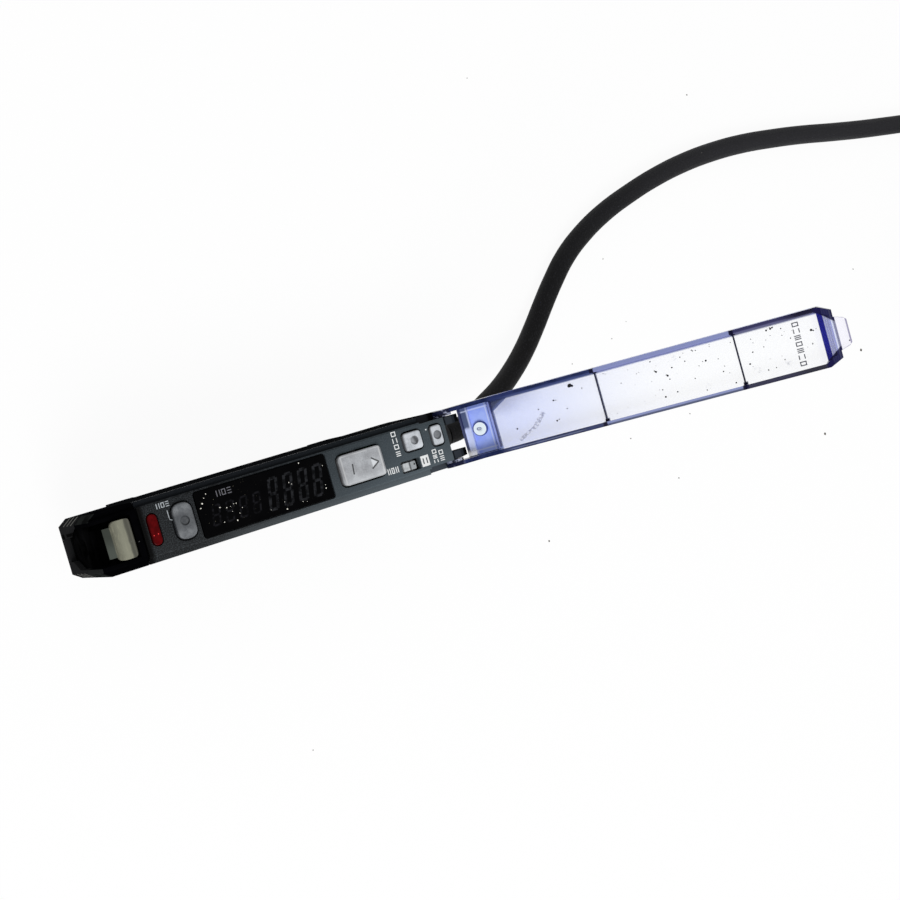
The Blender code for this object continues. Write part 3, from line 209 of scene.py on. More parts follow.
# %% Shader wires
class Wire:
    """One socket of a shader network. Python's operators add the maths nodes behind it."""

    def __init__(self, tree, socket=None):
        self.tree = tree
        self.socket = socket

    def node(self, kind, settings=None, inputs=None, output=0):
        made = self.tree.nodes.new(kind)
        for name, value in (settings or {}).items():
            setattr(made, name, value)
        for name, value in (inputs or {}).items():
            if isinstance(value, Wire):
                self.tree.links.new(value.socket, made.inputs[name])
            else:
                made.inputs[name].default_value = value
        return None if output is None else Wire(self.tree, made.outputs[output])

    def twin(self, output):
        """Another output of the node that this one comes from."""
        return Wire(self.tree, self.socket.node.outputs[output])

    def math(self, operation, first, second=0.0):
        return self.node("ShaderNodeMath", {"operation": operation}, {0: first, 1: second})

    def __add__(self, other):
        return self.math("ADD", self, other)

    def __radd__(self, other):
        return self.math("ADD", other, self)

    def __sub__(self, other):
        return self.math("SUBTRACT", self, other)

    def __rsub__(self, other):
        return self.math("SUBTRACT", other, self)

    def __mul__(self, other):
        return self.math("MULTIPLY", self, other)

    def __rmul__(self, other):
        return self.math("MULTIPLY", other, self)

    def __truediv__(self, other):
        return self.math("DIVIDE", self, other)

    def __abs__(self):
        return self.math("ABSOLUTE", self)

    def __pow__(self, other):
        return self.math("POWER", self, other)


def rise(value, low, high):
    """0 below low, 1 above high, smooth between."""
    return value.node("ShaderNodeMapRange", {"interpolation_type": "SMOOTHSTEP"},
                      {0: value, 1: low, 2: high, 3: 0.0, 4: 1.0})


def fall(value, low, high):
    """1 below low, 0 above high."""
    return 1 - rise(value, low, high)


def between(value, low, high, soft):
    """1 between low and high."""
    return rise(value, low - soft, low + soft) * fall(value, high - soft, high + soft)


def either(first, *others):
    """The largest of several masks."""
    for other in others:
        first = first.math("MAXIMUM", first, other)
    return first


def distance(x, y, centre):
    """How far a place is from a centre, in millimetres."""
    return ((x - centre[0]) ** 2.0 + (y - centre[1]) ** 2.0) ** 0.5


def linear(value):
    """A colour value from 0 to 255, as a paint program shows it, turned into what a shader wants."""
    value = value / 255
    return value / 12.92 if value <= 0.04045 else ((value + 0.055) / 1.055) ** 2.4


def tint(share, first, second):
    """Colour that goes from first to second as share goes from 0 to 1."""
    def colour(value):
        return value if isinstance(value, Wire) else (*map(linear, value), 1.0)
    return share.node("ShaderNodeMix", {"data_type": "RGBA"},
                      {0: share, 6: colour(first), 7: colour(second)}, 2)


def in_mm(place):
    """The three coordinates of a place on the piece, in millimetres."""
    grown = place.node("ShaderNodeVectorMath", {"operation": "SCALE"}, {0: place, "Scale": 1 / MM})
    x = grown.node("ShaderNodeSeparateXYZ", {}, {0: grown})
    return x, x.twin(1), x.twin(2)


def grain(place, size, detail=2.0, roughness=0.5):
    """Soft random pattern whose patches are about size millimetres wide."""
    return place.node("ShaderNodeTexNoise", {},
                      {"Vector": place, "Scale": 1 / (size * MM), "Detail": detail,
                       "Roughness": roughness})


def dust(place, spacing, radius, share):
    """Small round specks: one per cell of the given spacing, and only in a share of the cells."""
    away = place.node("ShaderNodeTexVoronoi", {}, {"Vector": place, "Scale": 1 / (spacing * MM)})
    lot = away.node("ShaderNodeSeparateColor", {}, {0: away.twin("Color")})
    size = (lot.twin(1) + 0.2) * (radius / spacing)
    return fall(away / size, 0.75, 1.05) * fall(lot, share, share + 0.001)


def empty_tree(owner):
    """A material's or world's shader network with nothing in it."""
    owner.use_nodes = True
    owner.node_tree.nodes.clear()
    return Wire(owner.node_tree)


def paint(name, **fixed):
    """An empty finish: the material, its shader and the place on the piece."""
    made = bpy.data.materials.new(name)
    tree = empty_tree(made)
    surface = tree.node("ShaderNodeBsdfPrincipled")
    tree.node("ShaderNodeOutputMaterial", {}, {0: surface}, None)
    shader = surface.socket.node
    for socket, value in fixed.items():
        shader.inputs[socket.replace("_", " ")].default_value = value
    return made, shader, tree.node("ShaderNodeTexCoord", output=3)


def apply(shader, **sockets):
    """Links or sets the shader's sockets; Bump is a pair of height and depth in millimetres."""
    for name, value in sockets.items():
        if name == "Bump":
            height, depth = value
            value = height.node("ShaderNodeBump", {}, {"Height": height, "Distance": depth * MM})
            name = "Normal"
        socket = shader.inputs[name.replace("_", " ")]
        if isinstance(value, Wire):
            value.tree.links.new(value.socket, socket)
        elif isinstance(value, tuple):
            socket.default_value = (*value, 1.0)
        else:
            socket.default_value = value


print("shader tools ready")

# %% Floor, world and lamp
WHITE = (1.0, 1.0, 1.0, 1.0)
WHITE_SHARE = 0.93
SKY_LEVEL = 0.62
SHEET_HALF = 1.5
SHEET_CENTRE = 0.1
SHEET_GAP = 0.02


def place_mesh(shape, name, finish):
    """A worked shape becomes an object of the scene, with one finish."""
    mesh = bpy.data.meshes.new(name)
    shape.to_mesh(mesh)
    shape.free()
    mesh.materials.append(finish)
    made = bpy.data.objects.new(name, mesh)
    bpy.context.scene.collection.objects.link(made)
    return made


sheet = bpy.data.materials.new("white_sheet")
wire = empty_tree(sheet)
seen = wire.node("ShaderNodeLightPath")
share = either(seen, seen.twin("Is Glossy Ray"), seen.twin("Is Transmission Ray")) * WHITE_SHARE
matt = wire.node("ShaderNodeBsdfDiffuse", {}, {"Color": (0.9, 0.9, 0.9, 1.0)})
glow = wire.node("ShaderNodeEmission", {}, {"Color": WHITE, "Strength": 1.0})
mixed = wire.node("ShaderNodeMixShader", {}, {0: share, 1: matt, 2: glow})
wire.node("ShaderNodeOutputMaterial", {}, {0: mixed}, None)
floor_shape = bmesh.new()
bmesh.ops.create_grid(floor_shape, x_segments=1, y_segments=1, size=SHEET_HALF)
bmesh.ops.translate(floor_shape, verts=floor_shape.verts,
                    vec=(SHEET_CENTRE, 0.0, (FLOOR_LEVEL - SHEET_GAP) * MM))
floor = place_mesh(floor_shape, "white_sheet", sheet)

world = bpy.data.worlds.new("studio")
bpy.context.scene.world = world
sky = empty_tree(world)
seen = sky.node("ShaderNodeLightPath")
soft, plain = (sky.node("ShaderNodeBackground", {}, {"Color": WHITE, "Strength": strength})
               for strength in (SKY_LEVEL, 1.0))
mixed = sky.node("ShaderNodeMixShader", {}, {0: seen, 1: soft, 2: plain})
sky.node("ShaderNodeOutputWorld", {}, {0: mixed}, None)


def soft_lamp(name, place, target, size, power):
    data = bpy.data.lights.new(name, "AREA")
    data.shape = "DISK"
    data.size = size
    data.energy = power
    made = bpy.data.objects.new(name, data)
    aim = (Vector(target) - Vector(place)).to_track_quat("-Z", "Y")
    made.matrix_world = Matrix.Translation(Vector(place)) @ aim.to_matrix().to_4x4()
    bpy.context.scene.collection.objects.link(made)


soft_lamp("window_light", (-0.25, -0.55, 0.75), target=(0.02, 0.0, 0.0), size=0.5, power=5.5)
print("floor, world and lamp in place")

# %% [markdown]
# ## Moulded black plastic
# The tub, its rail claw and the fibre holder are moulded from black plastic. New, it would
# be an even grey-black, but handling leaves it paler on the broad faces, and the mould's own
# fine grain breaks up every reflection. A soft noise mixes two close blacks and moves the
# roughness with it, and a much finer noise goes into the bump.

# %% Black plastic
def dress(finish, *names):
    """Gives CAD nodes their finish."""
    for name in names:
        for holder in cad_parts[name].material_slots:
            holder.material = finish


def moulded(name, dark, pale, roughness, shine=0.0, patch=2.5):
    made, shader, place = paint(name, Specular_IOR_Level=shine)
    soft = grain(place, patch, 3.0)
    fine = grain(place, 0.22, 2.0)
    apply(shader, Base_Color=tint(rise(soft, 0.35, 0.7), dark, pale),
          Roughness=roughness + (soft - 0.5) * 0.25, Bump=(fine, 0.01))
    return made


def nose_corner(x, y):
    """Mask of the two upright chamfers at the nose end."""
    return rise(abs(y) - (x + 31.8) * 0.71, 3.8, 3.87)


def nose_ribs(x, y, z):
    """Thin level ribs on the chamfers."""
    ribs = either(*(between(z, low, low + 0.6, 0.1) for low in (9.0, 11.2, 13.4)))
    return ribs * nose_corner(x, y)


def tub_finish():
    made, shader, place = paint("tub_black", Specular_IOR_Level=0.0)
    x, y, z = in_mm(place)
    soft = grain(place, 2.5, 3.0)
    fine = grain(place, 0.22, 2.0)
    colour = tint(rise(soft, 0.3, 0.75), (12, 13, 14), (19, 20, 22))
    # Painted light: the front facets at the nose end are painted a paler grey, as if lit. The same mask
    # keeps the two dark marks to the front.
    front = fall(x + (soft - 0.5) * 1.5, -31.2, -30.0)
    colour = tint(front * 0.75, colour, (36, 36, 37))
    marks = either(between(z, 6.8, 8.2, 0.2), between(z, 9.4, 10.8, 0.2)) * between(y, 1.85, 2.65, 0.1)
    colour = tint(marks * front * 0.9, colour, (6, 6, 6))
    # Painted highlight: the ribs are drawn as pale lines where they catch the light.
    colour = tint(nose_ribs(x, y, z) * 0.8, colour, (112, 112, 108))
    rubbed = rise(grain(place, 7.0, 5.0, 0.7), 0.55, 0.75) * fall(z, 12.0, 20.0)
    colour = tint(rubbed * 0.18, colour, (52, 53, 56))
    # Painted light: the tops of the ears are painted a lighter grey, as if lit from above.
    ear = rise(x, 29.9, 30.1) * rise(z, 22.6, 23.0)
    colour = tint(ear * 0.9, colour, tint(soft, (38, 42, 47), (56, 61, 68)))
    # Painted light: the step's faces are painted lighter, most on the -Y side, which faces the lamp.
    step = between(z, 20.3, 20.5, 0.1) * rise(x, 27.0, 27.4)
    colour = tint(step * fall(y, -1.0, 1.0) * 0.95, colour, (70, 76, 83))
    colour = tint(step * rise(y, -1.0, 1.0) * fall(x, 29.0, 29.7) * 0.9, colour, (46, 48, 52))
    apply(shader, Base_Color=colour, Roughness=0.6 + (soft - 0.5) * 0.25, Bump=(fine, 0.01))
    return made


tub_black = tub_finish()
dress(tub_black, "case_body", "din_claw")
dress(moulded("holder_black", (3, 3, 3), (12, 12, 13), 0.6), "fibre_holder")
print("black plastic on", tub_black.users, "pieces")

# %% [markdown]
# ## The glossy nose
# The bezel round the fibre lock is polished: its broad faces are deep black and only its
# chamfers catch the light, which is painted into them as a lighter grey, as is a lit facet at the
# front. Three level ribs run across the two upright chamfers, and a few pale dust grains lie in
# the well. Ribs this small are drawn by the shader: bands of the height, kept to the chamfers by
# a mask and painted pale as highlights.

# %% Nose finish
def nose_finish():
    made, shader, place = paint("nose_gloss", Specular_IOR_Level=0.0)
    x, y, z = in_mm(place)
    soft = grain(place, 1.6, 3.0)
    ribs = nose_ribs(x, y, z)
    colour = tint(soft, (1, 1, 2), (7, 7, 9))
    # Painted light: the chamfers are painted a lighter grey, and the lit facet below is painted paler still.
    colour = tint(nose_corner(x, y) * 0.8, colour, tint(rise(soft, 0.4, 0.6), (18, 19, 19), (36, 38, 37)))
    lit_facet = fall(x, -31.75, -31.6) * fall(y + (soft - 0.5) * 0.8, -3.3, -2.9)
    colour = tint(lit_facet * 0.85, colour, (36, 37, 37))
    # Painted highlight: the ribs are drawn pale where they catch the light.
    colour = tint(ribs * 0.8, colour, (112, 112, 108))
    colour = tint(dust(place, 0.9, 0.07, 0.12), colour, (150, 150, 150))
    apply(shader, Base_Color=colour, Roughness=0.25 + soft * 0.2,
          Bump=(ribs + grain(place, 0.3) * 0.2, 0.02))
    return made


dress(nose_finish(), "nose_bezel")
print("nose dressed")

# %% [markdown]
# ## The charcoal panel
# The operating panel is matt charcoal. In the picture it is paler and bluer towards the cable
# end and almost black at the nose, where the fibre lock's pocket keeps the light away; that black
# is painted shade. A ramp along X carries the change along the panel, noise breaks it up, and the
# finest noise is the spark-eroded texture of such panels. The +Y side and its ledge are painted
# darker as shade, and the -Y ledge is painted lighter, as if lit.

# %% Panel finish
def panel_finish():
    made, shader, place = paint("panel_charcoal", Specular_IOR_Level=0.04)
    x, y, z = in_mm(place)
    soft = grain(place, 4.0, 4.0, 0.6)
    fine = grain(place, 0.16, 3.0)
    along = rise(x + (soft - 0.5) * 6.0, -14.0, 27.0)
    colour = tint(along, (32, 33, 34), (75, 84, 90))
    # Painted shade: the +Y side of the panel is painted darker.
    shaded = rise(y, -4.0, 1.0) * 0.4 + rise(y, 1.5, 4.2) * 0.25
    colour = tint(shaded, colour, tint(along, (16, 17, 19), (38, 44, 48)))
    colour = tint(rise(fine, 0.42, 0.72) * 0.22, colour, (112, 120, 126))
    # Painted shade: the nose end, by the fibre lock's pocket, is painted almost black.
    nose_shade = fall(x, -23.9, -23.1)
    colour = tint(nose_shade * 0.95, colour, (5, 5, 5))
    # Painted light on the -Y ledge, which is painted lighter as if lit, and painted shade on the +Y ledge,
    # which is painted nearly black.
    lit_ledge = fall(z, 23.3, 23.7) * fall(y, -1.0, 0.0) * rise(x, -18.0, -6.0)
    colour = tint(lit_ledge * 0.2, colour, (112, 118, 122))
    ledge = fall(z, 23.3, 23.7) * rise(y, 0.0, 1.0)
    colour = tint(ledge * 0.9, colour, (18, 21, 25))
    colour = tint(dust(place, 1.3, 0.06, 0.18) * 0.6, colour, (120, 126, 130))
    apply(shader, Base_Color=colour, Roughness=0.55 + (soft - 0.5) * 0.3, Bump=(fine, 0.02))
    return made


dress(panel_finish(), "front_panel")
print("panel dressed")

# %% [markdown]
# ## The display window
# Behind the smoked window stand seven-segment digits that aren't lit: they show as faint grey
# ghosts, four tall ones at the right and four smaller ones at the left. They could be cut as
# little plates, but they lie under the window's surface, so the shader draws them. One digit is
# written once and repeated by folding the coordinate with a wrap. Dust on the window is denser
# at its left end.

# %% Window finish
def digits(x, y, first, pitch, count, tall, wide, bar):
    """Mask of a row of figure eights whose centres start at first along X, upright along Y."""
    local = x.node("ShaderNodeMath", {"operation": "WRAP"}, {0: x - first, 1: pitch / 2, 2: -pitch / 2})
    inside = between(x, first - pitch / 2, first + pitch * (count - 0.5), 0.01)
    upright = between(abs(local), wide / 2 - bar, wide / 2, 0.06) * fall(abs(y), tall / 2 - 0.1, tall / 2)
    gap = rise(abs(abs(y) - tall / 4), tall / 4 - bar * 0.7, tall / 4 - bar * 0.4)
    upright = upright * (1 - gap)
    level = either(between(abs(y), tall / 2 - bar, tall / 2, 0.06), fall(abs(y), bar * 0.4, bar * 0.6))
    level = level * fall(abs(local), wide / 2 - bar * 0.9, wide / 2 - bar * 0.6)
    return either(upright, level) * inside


def window_finish():
    made, shader, place = paint("window_smoked", Specular_IOR_Level=0.03)
    x, y = in_mm(place)[:2]
    soft = grain(place, 2.2, 3.0)
    large = digits(x - (y + 0.1) * 0.2, y + 0.1, -2.5, 2.63, 4, 5.2, 1.7, 0.46)
    small = digits(x - (y + 0.65) * 0.2, y + 0.65, -12.4, 2.3, 4, 3.3, 1.4, 0.3)
    colour = tint(soft, (0, 0, 1), (5, 5, 6))
    patchy = rise(grain(place, 0.8, 3.0), 0.38, 0.62)
    colour = tint(large * (0.15 + patchy * 0.75), colour, (40, 41, 44))
    colour = tint(small * (0.05 + patchy * 0.6), colour, (30, 30, 34))
    left = fall(x, -15.0, -2.0)
    flecks = dust(place, 0.36, 0.05, 0.4) * (0.1 + left * 0.9) * rise(soft, 0.35, 0.6)
    colour = tint(flecks * 0.45, colour, (170, 166, 140))
    apply(shader, Base_Color=colour, Roughness=0.16 + flecks * 0.5 + (soft - 0.4) * 0.1,
          Bump=(flecks, 0.01))
    return made


dress(window_finish(), "display_window")
dress(moulded("module_dark", (10, 10, 11), (22, 22, 24), 0.4), "display_module")
print("window dressed")

# %% [markdown]
# ## The push keys
# Each key is grey plastic with a dished place for a fingertip. Its edge is darker, the dish is
# darkened with painted shade and its far wall with a painted shadow, and a painted highlight makes
# the top paler towards one corner. Distance from the dish's centre gives the ring and the dot, and
# the distance to the key's own outline gives the darker rim. The long key gets a painted shade
# across its middle, and the sides of every key are painted darker as shade.

# %% Key finish
def key_finish(name, place_on_panel, dish, colours, dish_shade_and_light, spot=0.0, shaded=0.0):
    centre_x, centre_y, long, wide = place_on_panel
    pale, dark, rim_colour = colours
    made, shader, place = paint(name, Specular_IOR_Level=0.3)
    x, y, z = in_mm(place)
    soft = grain(place, 1.1, 4.0, 0.6)
    fine = grain(place, 0.14, 3.0)
    from_dish = distance(x, y, (dish, centre_y))
    edge = either(abs(x - centre_x) / (long / 2), abs(y - centre_y) / (wide / 2))
    colour = tint(rise(soft, 0.3, 0.7), dark, pale)
    colour = tint(rise(fine, 0.5, 0.7) * 0.4, colour, rim_colour)
    colour = tint(rise(edge + (soft - 0.5) * 0.15, 0.82, 1.0) * 0.55, colour, rim_colour)
    # Painted light: the ring fades on the dish's lit side.
    ring = between(from_dish, 0.62, 0.78, 0.05) * (1 - dish_shade_and_light * fall(x - dish, -0.2, 0.3))
    colour = tint(ring * 0.7, colour, rim_colour)
    # Painted shade across the middle of the long key.
    middle = fall(abs(y - centre_y), 0.7, 1.9) * shaded
    colour = tint(middle, colour, rim_colour)
    # Painted shade in the dish.
    colour = tint(fall(from_dish, 0.5, 0.7) * dish_shade_and_light * 0.4, colour, rim_colour)
    # Painted highlight: the top is painted paler towards +X and -Y.
    lit = rise((x - centre_x) - (y - centre_y), 0.4, 2.4) * (dish_shade_and_light - 0.15) * 0.6
    colour = tint(lit, colour, (232, 237, 243))
    if spot:
        colour = tint(fall(from_dish, spot * 0.7, spot) * 0.3, colour, rim_colour)
    # Painted shadow on the dish's far wall: the crescent.
    crescent = rise(x - dish + (y - centre_y) * 0.3, -0.2, 0.4) * fall(from_dish, 0.6, 0.72)
    colour = tint(crescent * dish_shade_and_light, colour, (40, 40, 42))
    # Painted shade: the key's sides are painted darker.
    side = fall(z, 24.02, 24.3)
    colour = tint(side * 0.7, colour, rim_colour)
    apply(shader, Base_Color=colour, Roughness=0.42 + soft * 0.2, Bump=(fine, 0.012))
    return made


PALE_KEY = ((204, 208, 214), (178, 183, 188), (92, 94, 98))
SET_GREY = ((118, 121, 124), (92, 95, 99), (46, 49, 53))
dress(key_finish("set_grey", (-17.65, 0.0, 3.2, 5.6), -17.65, SET_GREY, 0.15, 0.34, 0.5), "set_button")
dress(key_finish("mode_grey", (23.55, 1.45, 3.3, 3.0), 23.75, PALE_KEY, 0.85), "mode_button")
dress(key_finish("output_grey", (28.2, 1.2, 2.0, 3.3), 28.2, PALE_KEY, 0.3), "output_button")
print("keys dressed")

# %% [markdown]
# ## The rocker key
# One long key works two switches: a minus line is pressed into one end and an arrow head into
# the other. Both are plain signs that any such key may carry. They are thin grooves, so a mask
# gives them a dark line of painted shade and the bump sinks them. The arrow's inside is a little
# paler. A painted highlight runs along the rounded crown, the -Y side is painted lighter, as if
# lit, and the sides are painted darker as shade.

# %% Rocker finish
def stroke(x, y, start, end, width):
    """Mask of a straight line of the given width, in millimetres."""
    along = Vector((end[0] - start[0], end[1] - start[1]))
    length = along.length
    along.normalize()
    u = (x - start[0]) * along.x + (y - start[1]) * along.y
    v = (y - start[1]) * along.x - (x - start[0]) * along.y
    return between(u, 0.0, length, 0.04) * fall(abs(v), width / 2 - 0.04, width / 2 + 0.04)


def rocker_finish():
    made, shader, place = paint("rocker_grey", Specular_IOR_Level=0.35)
    x, y, z = in_mm(place)
    soft = grain(place, 1.8, 4.0, 0.65)
    fine = grain(place, 0.15, 3.0)
    edge = either(abs(x - 13.35) / 3.95, abs(y) / 2.5)
    colour = tint(rise(soft, 0.3, 0.7), (149, 151, 155), (175, 178, 182))
    colour = tint(rise(fine, 0.48, 0.7) * 0.4, colour, (112, 112, 114))
    colour = tint(rise(edge + (soft - 0.5) * 0.12, 0.86, 0.99) * 0.45, colour, (92, 92, 94))
    # Painted highlight along the rounded crown of the edge.
    crown_highlight = between(edge, 0.86, 0.92, 0.02) * rise(z, 24.4, 24.6)
    colour = tint(crown_highlight * 0.4, colour, (214, 214, 214))
    # Painted light: the -Y side is painted lighter, as if lit.
    colour = tint(fall(y, -2.2, -0.8) * 0.35, colour, (206, 210, 214))
    worn = dust(place, 0.36, 0.07, 0.45) * rise(x + soft, 16.9, 17.4) * fall(y, 0.0, 1.0)
    colour = tint(worn * 0.9, colour, (226, 228, 230))
    pale = between(x + abs(y + 0.08) * 1.35, 15.0, 16.35, 0.04) * rise(x, 15.1, 15.2)
    colour = tint(pale * 0.8, colour, (216, 220, 224))
    # The grooves' dark line is painted shade.
    marks = either(stroke(x, y, (11.75, 0.72), (11.58, -1.0), 0.22),
                   stroke(x, y, (15.2, 0.8), (16.35, -0.1), 0.24),
                   stroke(x, y, (16.35, -0.1), (15.0, -0.98), 0.24))
    colour = tint(marks * 0.9, colour, (34, 34, 36))
    # Painted shade: the key's sides are painted darker.
    side = fall(z, 24.0, 24.3)
    colour = tint(side * 0.6, colour, (60, 60, 62))
    apply(shader, Base_Color=colour, Roughness=0.4 + soft * 0.2, Bump=(fine * 0.4 - marks, 0.04))
    return made


dress(rocker_finish(), "rocker_button")
print("rocker dressed")

# %% [markdown]
# ## Selector, lens and lever
# The little selector is paler on one half. The indicator is a deep red lens with painted glints,
# bright points in its own texture, and a painted glow from a faint emission. The fibre lock
# lever was once white and has yellowed. A darker band on its rear slope is painted shade, with
# black specks of dirt on it; the +Y side of its pad is painted darker, and its parts down in the
# nose pocket are painted near black as shade.

# %% Selector finish
def selector_finish():
    made, shader, place = paint("selector_grey", Specular_IOR_Level=0.3)
    x, y = in_mm(place)[:2]
    soft = grain(place, 0.6, 3.0)
    colour = tint(rise(x, 21.85, 22.0), (188, 192, 194), (150, 155, 158))
    colour = tint(between(x, 21.8, 22.0, 0.04) * 0.7, colour, (84, 86, 88))
    colour = tint(rise(soft, 0.4, 0.8) * 0.4, colour, (84, 86, 86))
    dot = fall(distance(x, y, (22.7, -2.3)), 0.12, 0.2)
    colour = tint(dot * 0.9, colour, (26, 26, 28))
    apply(shader, Base_Color=colour, Roughness=0.45 + soft * 0.1, Bump=(grain(place, 0.15), 0.01))
    return made


def lens_finish():
    made, shader, place = paint("lens_red", Specular_IOR_Level=0.05)
    x = in_mm(place)[0]
    soft = grain(place, 0.7, 3.0)
    colour = tint(rise(soft, 0.35, 0.65), (66, 1, 3), (84, 3, 6))
    edge = rise(abs(x + 22.4), 0.45, 0.78)
    colour = tint(edge * 0.6, colour, (40, 1, 3))
    # Painted glints: bright points in the colour. With the emission below they are a painted glow: faint
    # over the whole lens, brighter at the points.
    points = dust(place, 0.6, 0.1, 0.35)
    colour = tint(points * 0.8, colour, (240, 70, 70))
    apply(shader, Base_Color=colour, Roughness=0.22 + soft * 0.1,
          Emission_Color=tint(points * 0.4, (13, 0, 0), (170, 48, 48)),
          Bump=(grain(place, 0.25), 0.02))
    shader.inputs["Emission Strength"].default_value = 1.0
    return made


def lever_finish():
    made, shader, place = paint("lever_aged", Specular_IOR_Level=0.0)
    x, y, z = in_mm(place)
    soft = grain(place, 1.4, 4.0, 0.6)
    streaks = grain(place.node("ShaderNodeMapping", {}, {0: place, "Scale": (6.0, 1.0, 1.0)}), 1.2, 3.0)
    colour = tint(rise(x + (soft - 0.5) * 0.6, -29.1, -27.7), (104, 104, 92), (132, 132, 117))
    colour = tint(rise(streaks, 0.5, 0.75) * 0.35, colour, (158, 156, 136))
    # Painted shade: the +Y side of the pad is painted darker.
    colour = tint(rise(y, -2.0, 2.6) * 0.14, colour, (70, 70, 62))
    # Painted shade on the rear slope of the pad; the black specks further down are dirt.
    slope_shade = rise(x + (soft - 0.5) * 0.4, -27.3, -26.95) * rise(z, 24.3, 24.6)
    colour = tint(slope_shade * 0.85, colour, (76, 76, 70))
    colour = tint(between(x, -26.5, -26.1, 0.1) * 0.5, colour, (104, 103, 94))
    tongue = fall(x, -29.25, -29.0)
    colour = tint(tongue * 0.95, colour, tint(rise(y + soft, -1.0, 1.5), (72, 77, 72), (54, 58, 54)))
    # Painted shade: the lever's parts below the pad and its front face, down in the nose pocket, are painted
    # near black.
    dark = either(fall(z, 22.9, 23.6), fall(x, -30.28, -30.22))
    colour = tint(dark, colour, (2, 2, 2))
    black = dust(place, 0.45, 0.06, 0.4) * rise(x, -27.5, -26.4)
    colour = tint(black * 0.85, colour, (26, 26, 22))
    apply(shader, Base_Color=colour, Roughness=0.38 + soft * 0.2, Bump=(soft, 0.02))
    return made


dress(selector_finish(), "selector_knob")
dress(lens_finish(), "indicator_lens")
dress(lever_finish(), "fibre_lever")
print("selector, lens and lever dressed")

# %% [markdown]
# ## The dust cover
# The real cover is one piece of clear, blue-tinted plastic. Its plate is nearly clear, but its
# walls are seen edge-on, so the light travels through a lot of tinted plastic and they turn
# navy. Real refraction would need the exact mould to give that, and the exported model can't
# carry it, so this finish uses transparency with a mask. Two new directions, one along the open
# cover and one through it, place every zone: hinge pocket, two thin cross lines, end crease.

# %% Cover coordinates
CROSS_LINES = (26.0, 49.4)
HINGE = (31.2, 0.0, 22.3)
ALONG = (0.7108, 0.0, 0.7034)
THROUGH = (0.7034, 0.0, -0.7108)


def cover_axes(place):
    """Millimetres along the cover from its hinge, across it, and out from the hinge."""
    x, y, z = in_mm(place)
    x = x - HINGE[0]
    z = z - HINGE[2]
    return x * ALONG[0] + z * ALONG[2], y, x * THROUGH[0] + z * THROUGH[2]


def by_section(s, first, second, third):
    """One of three colours, for the cover's three lengths between the cross lines."""
    for line, after in zip(CROSS_LINES, (second, third)):
        first = tint(rise(s, line, line + 0.2), first, after)
    return first


print("cover leans back by", round(math.degrees(math.atan2(ALONG[2], ALONG[0])), 1), "degrees")

# %% Cover plate and walls
def cover_plate(axes, soft):
    """Colour and opacity of the plate, its side walls and the ribs across it."""
    s, y, h = axes
    across = abs(y)
    along = rise(s, 6.0, 44.0)
    colour = tint(along, (158, 180, 252), (240, 246, 255))
    solid = 0.28 - along * 0.2
    # Painted shadow: a soft grey shade on the plate's +Y side near the hinge.
    plate_shadow = rise(y + (soft - 0.5) * 2.0, 0.4, 3.8) * fall(s, 8.5, 18.0)
    colour = tint(plate_shadow * 0.6, colour, (104, 112, 158))
    solid = solid + plate_shadow * 0.16
    corner = rise(y * 1.6 - (s - 7.7), 3.4, 5.2) * fall(s, 10.5, 11.0)
    colour = tint(corner * 0.8, colour, (66, 70, 88))
    solid = either(solid, corner * 0.6)
    low_side = fall(y, -1.0, 1.0)
    lighter = fall(across, 4.2, 4.5) * (1 - low_side) * rise(s, 8.0, 12.0)
    blotch = rise(soft, 0.35, 0.65)
    near = tint(lighter, tint(blotch, (20, 30, 66), (40, 50, 94)), (58, 70, 118))
    outer_line = between(across, 4.5, 4.68, 0.04) * low_side * between(s, 9.5, 22.5, 0.8)
    near = tint(outer_line * 0.7, near, (100, 108, 138))
    middle = tint(lighter, (128, 136, 180), (132, 138, 190))
    middle = tint(rise(across, 4.5, 4.62) * low_side * 0.9, middle, (66, 73, 98))
    far = tint(lighter, (50, 49, 86), (100, 100, 136))
    far = tint(low_side * 0.8, far, (22, 22, 50))
    far = tint(rise(s, 56.5, 60.5) * 0.9, far, (14, 11, 34))
    wall = by_section(s, near, middle, far)
    far_border = rise(y, 3.6, 4.0)
    border_colour = by_section(s, (70, 82, 128), (124, 131, 176), (104, 105, 138))
    colour = tint(far_border, colour, border_colour)
    colour = tint(far_border * fall(s, 9.0, 11.0) * 0.6, colour, (30, 42, 84))
    solid = either(solid, far_border * 0.9)
    rim = either(fall(h, 1.25, 1.35), fall(s, 7.0, 8.0)) * rise(across, 4.1, 4.18)
    colour = tint(rim, colour, wall)
    flank = rise(across, 4.86, 4.89) * (1 - rim)
    colour = tint(flank, colour, (120, 134, 214))
    at_wall = rise(across, 3.75, 4.0)
    rib = either(*(between(s, line, line + 0.22, 0.02) for line in CROSS_LINES),
                 *(between(s, line - 0.2, line + 0.5, 0.1) * at_wall for line in CROSS_LINES))
    colour = tint(rib, colour, (12, 11, 40))
    cross = either(between(s, 6.8, 7.0, 0.04), between(s, 7.36, 7.58, 0.04))
    inner = fall(across, 3.95, 4.05)
    colour = tint(between(s, 7.0, 7.36, 0.03) * inner * 0.8, colour, (150, 162, 232))
    colour = tint(cross * inner * 0.95, colour, (28, 36, 92))
    solid = either(solid, rim * 0.97, rib * 0.99, flank * 0.4, between(s, 6.8, 7.6, 0.04) * 0.8)
    return colour, solid


print("plate and walls ready")

# %% [markdown]
# ## The cover's ends
# Beside the hinge the plate steps down into a pocket with a round boss, which shows bright blue
# with navy rims. At the far end the plate folds down in a crease, then a slope with fine steps
# leads to the finger tab. The round and straight masks follow the CAD solid's own edges.

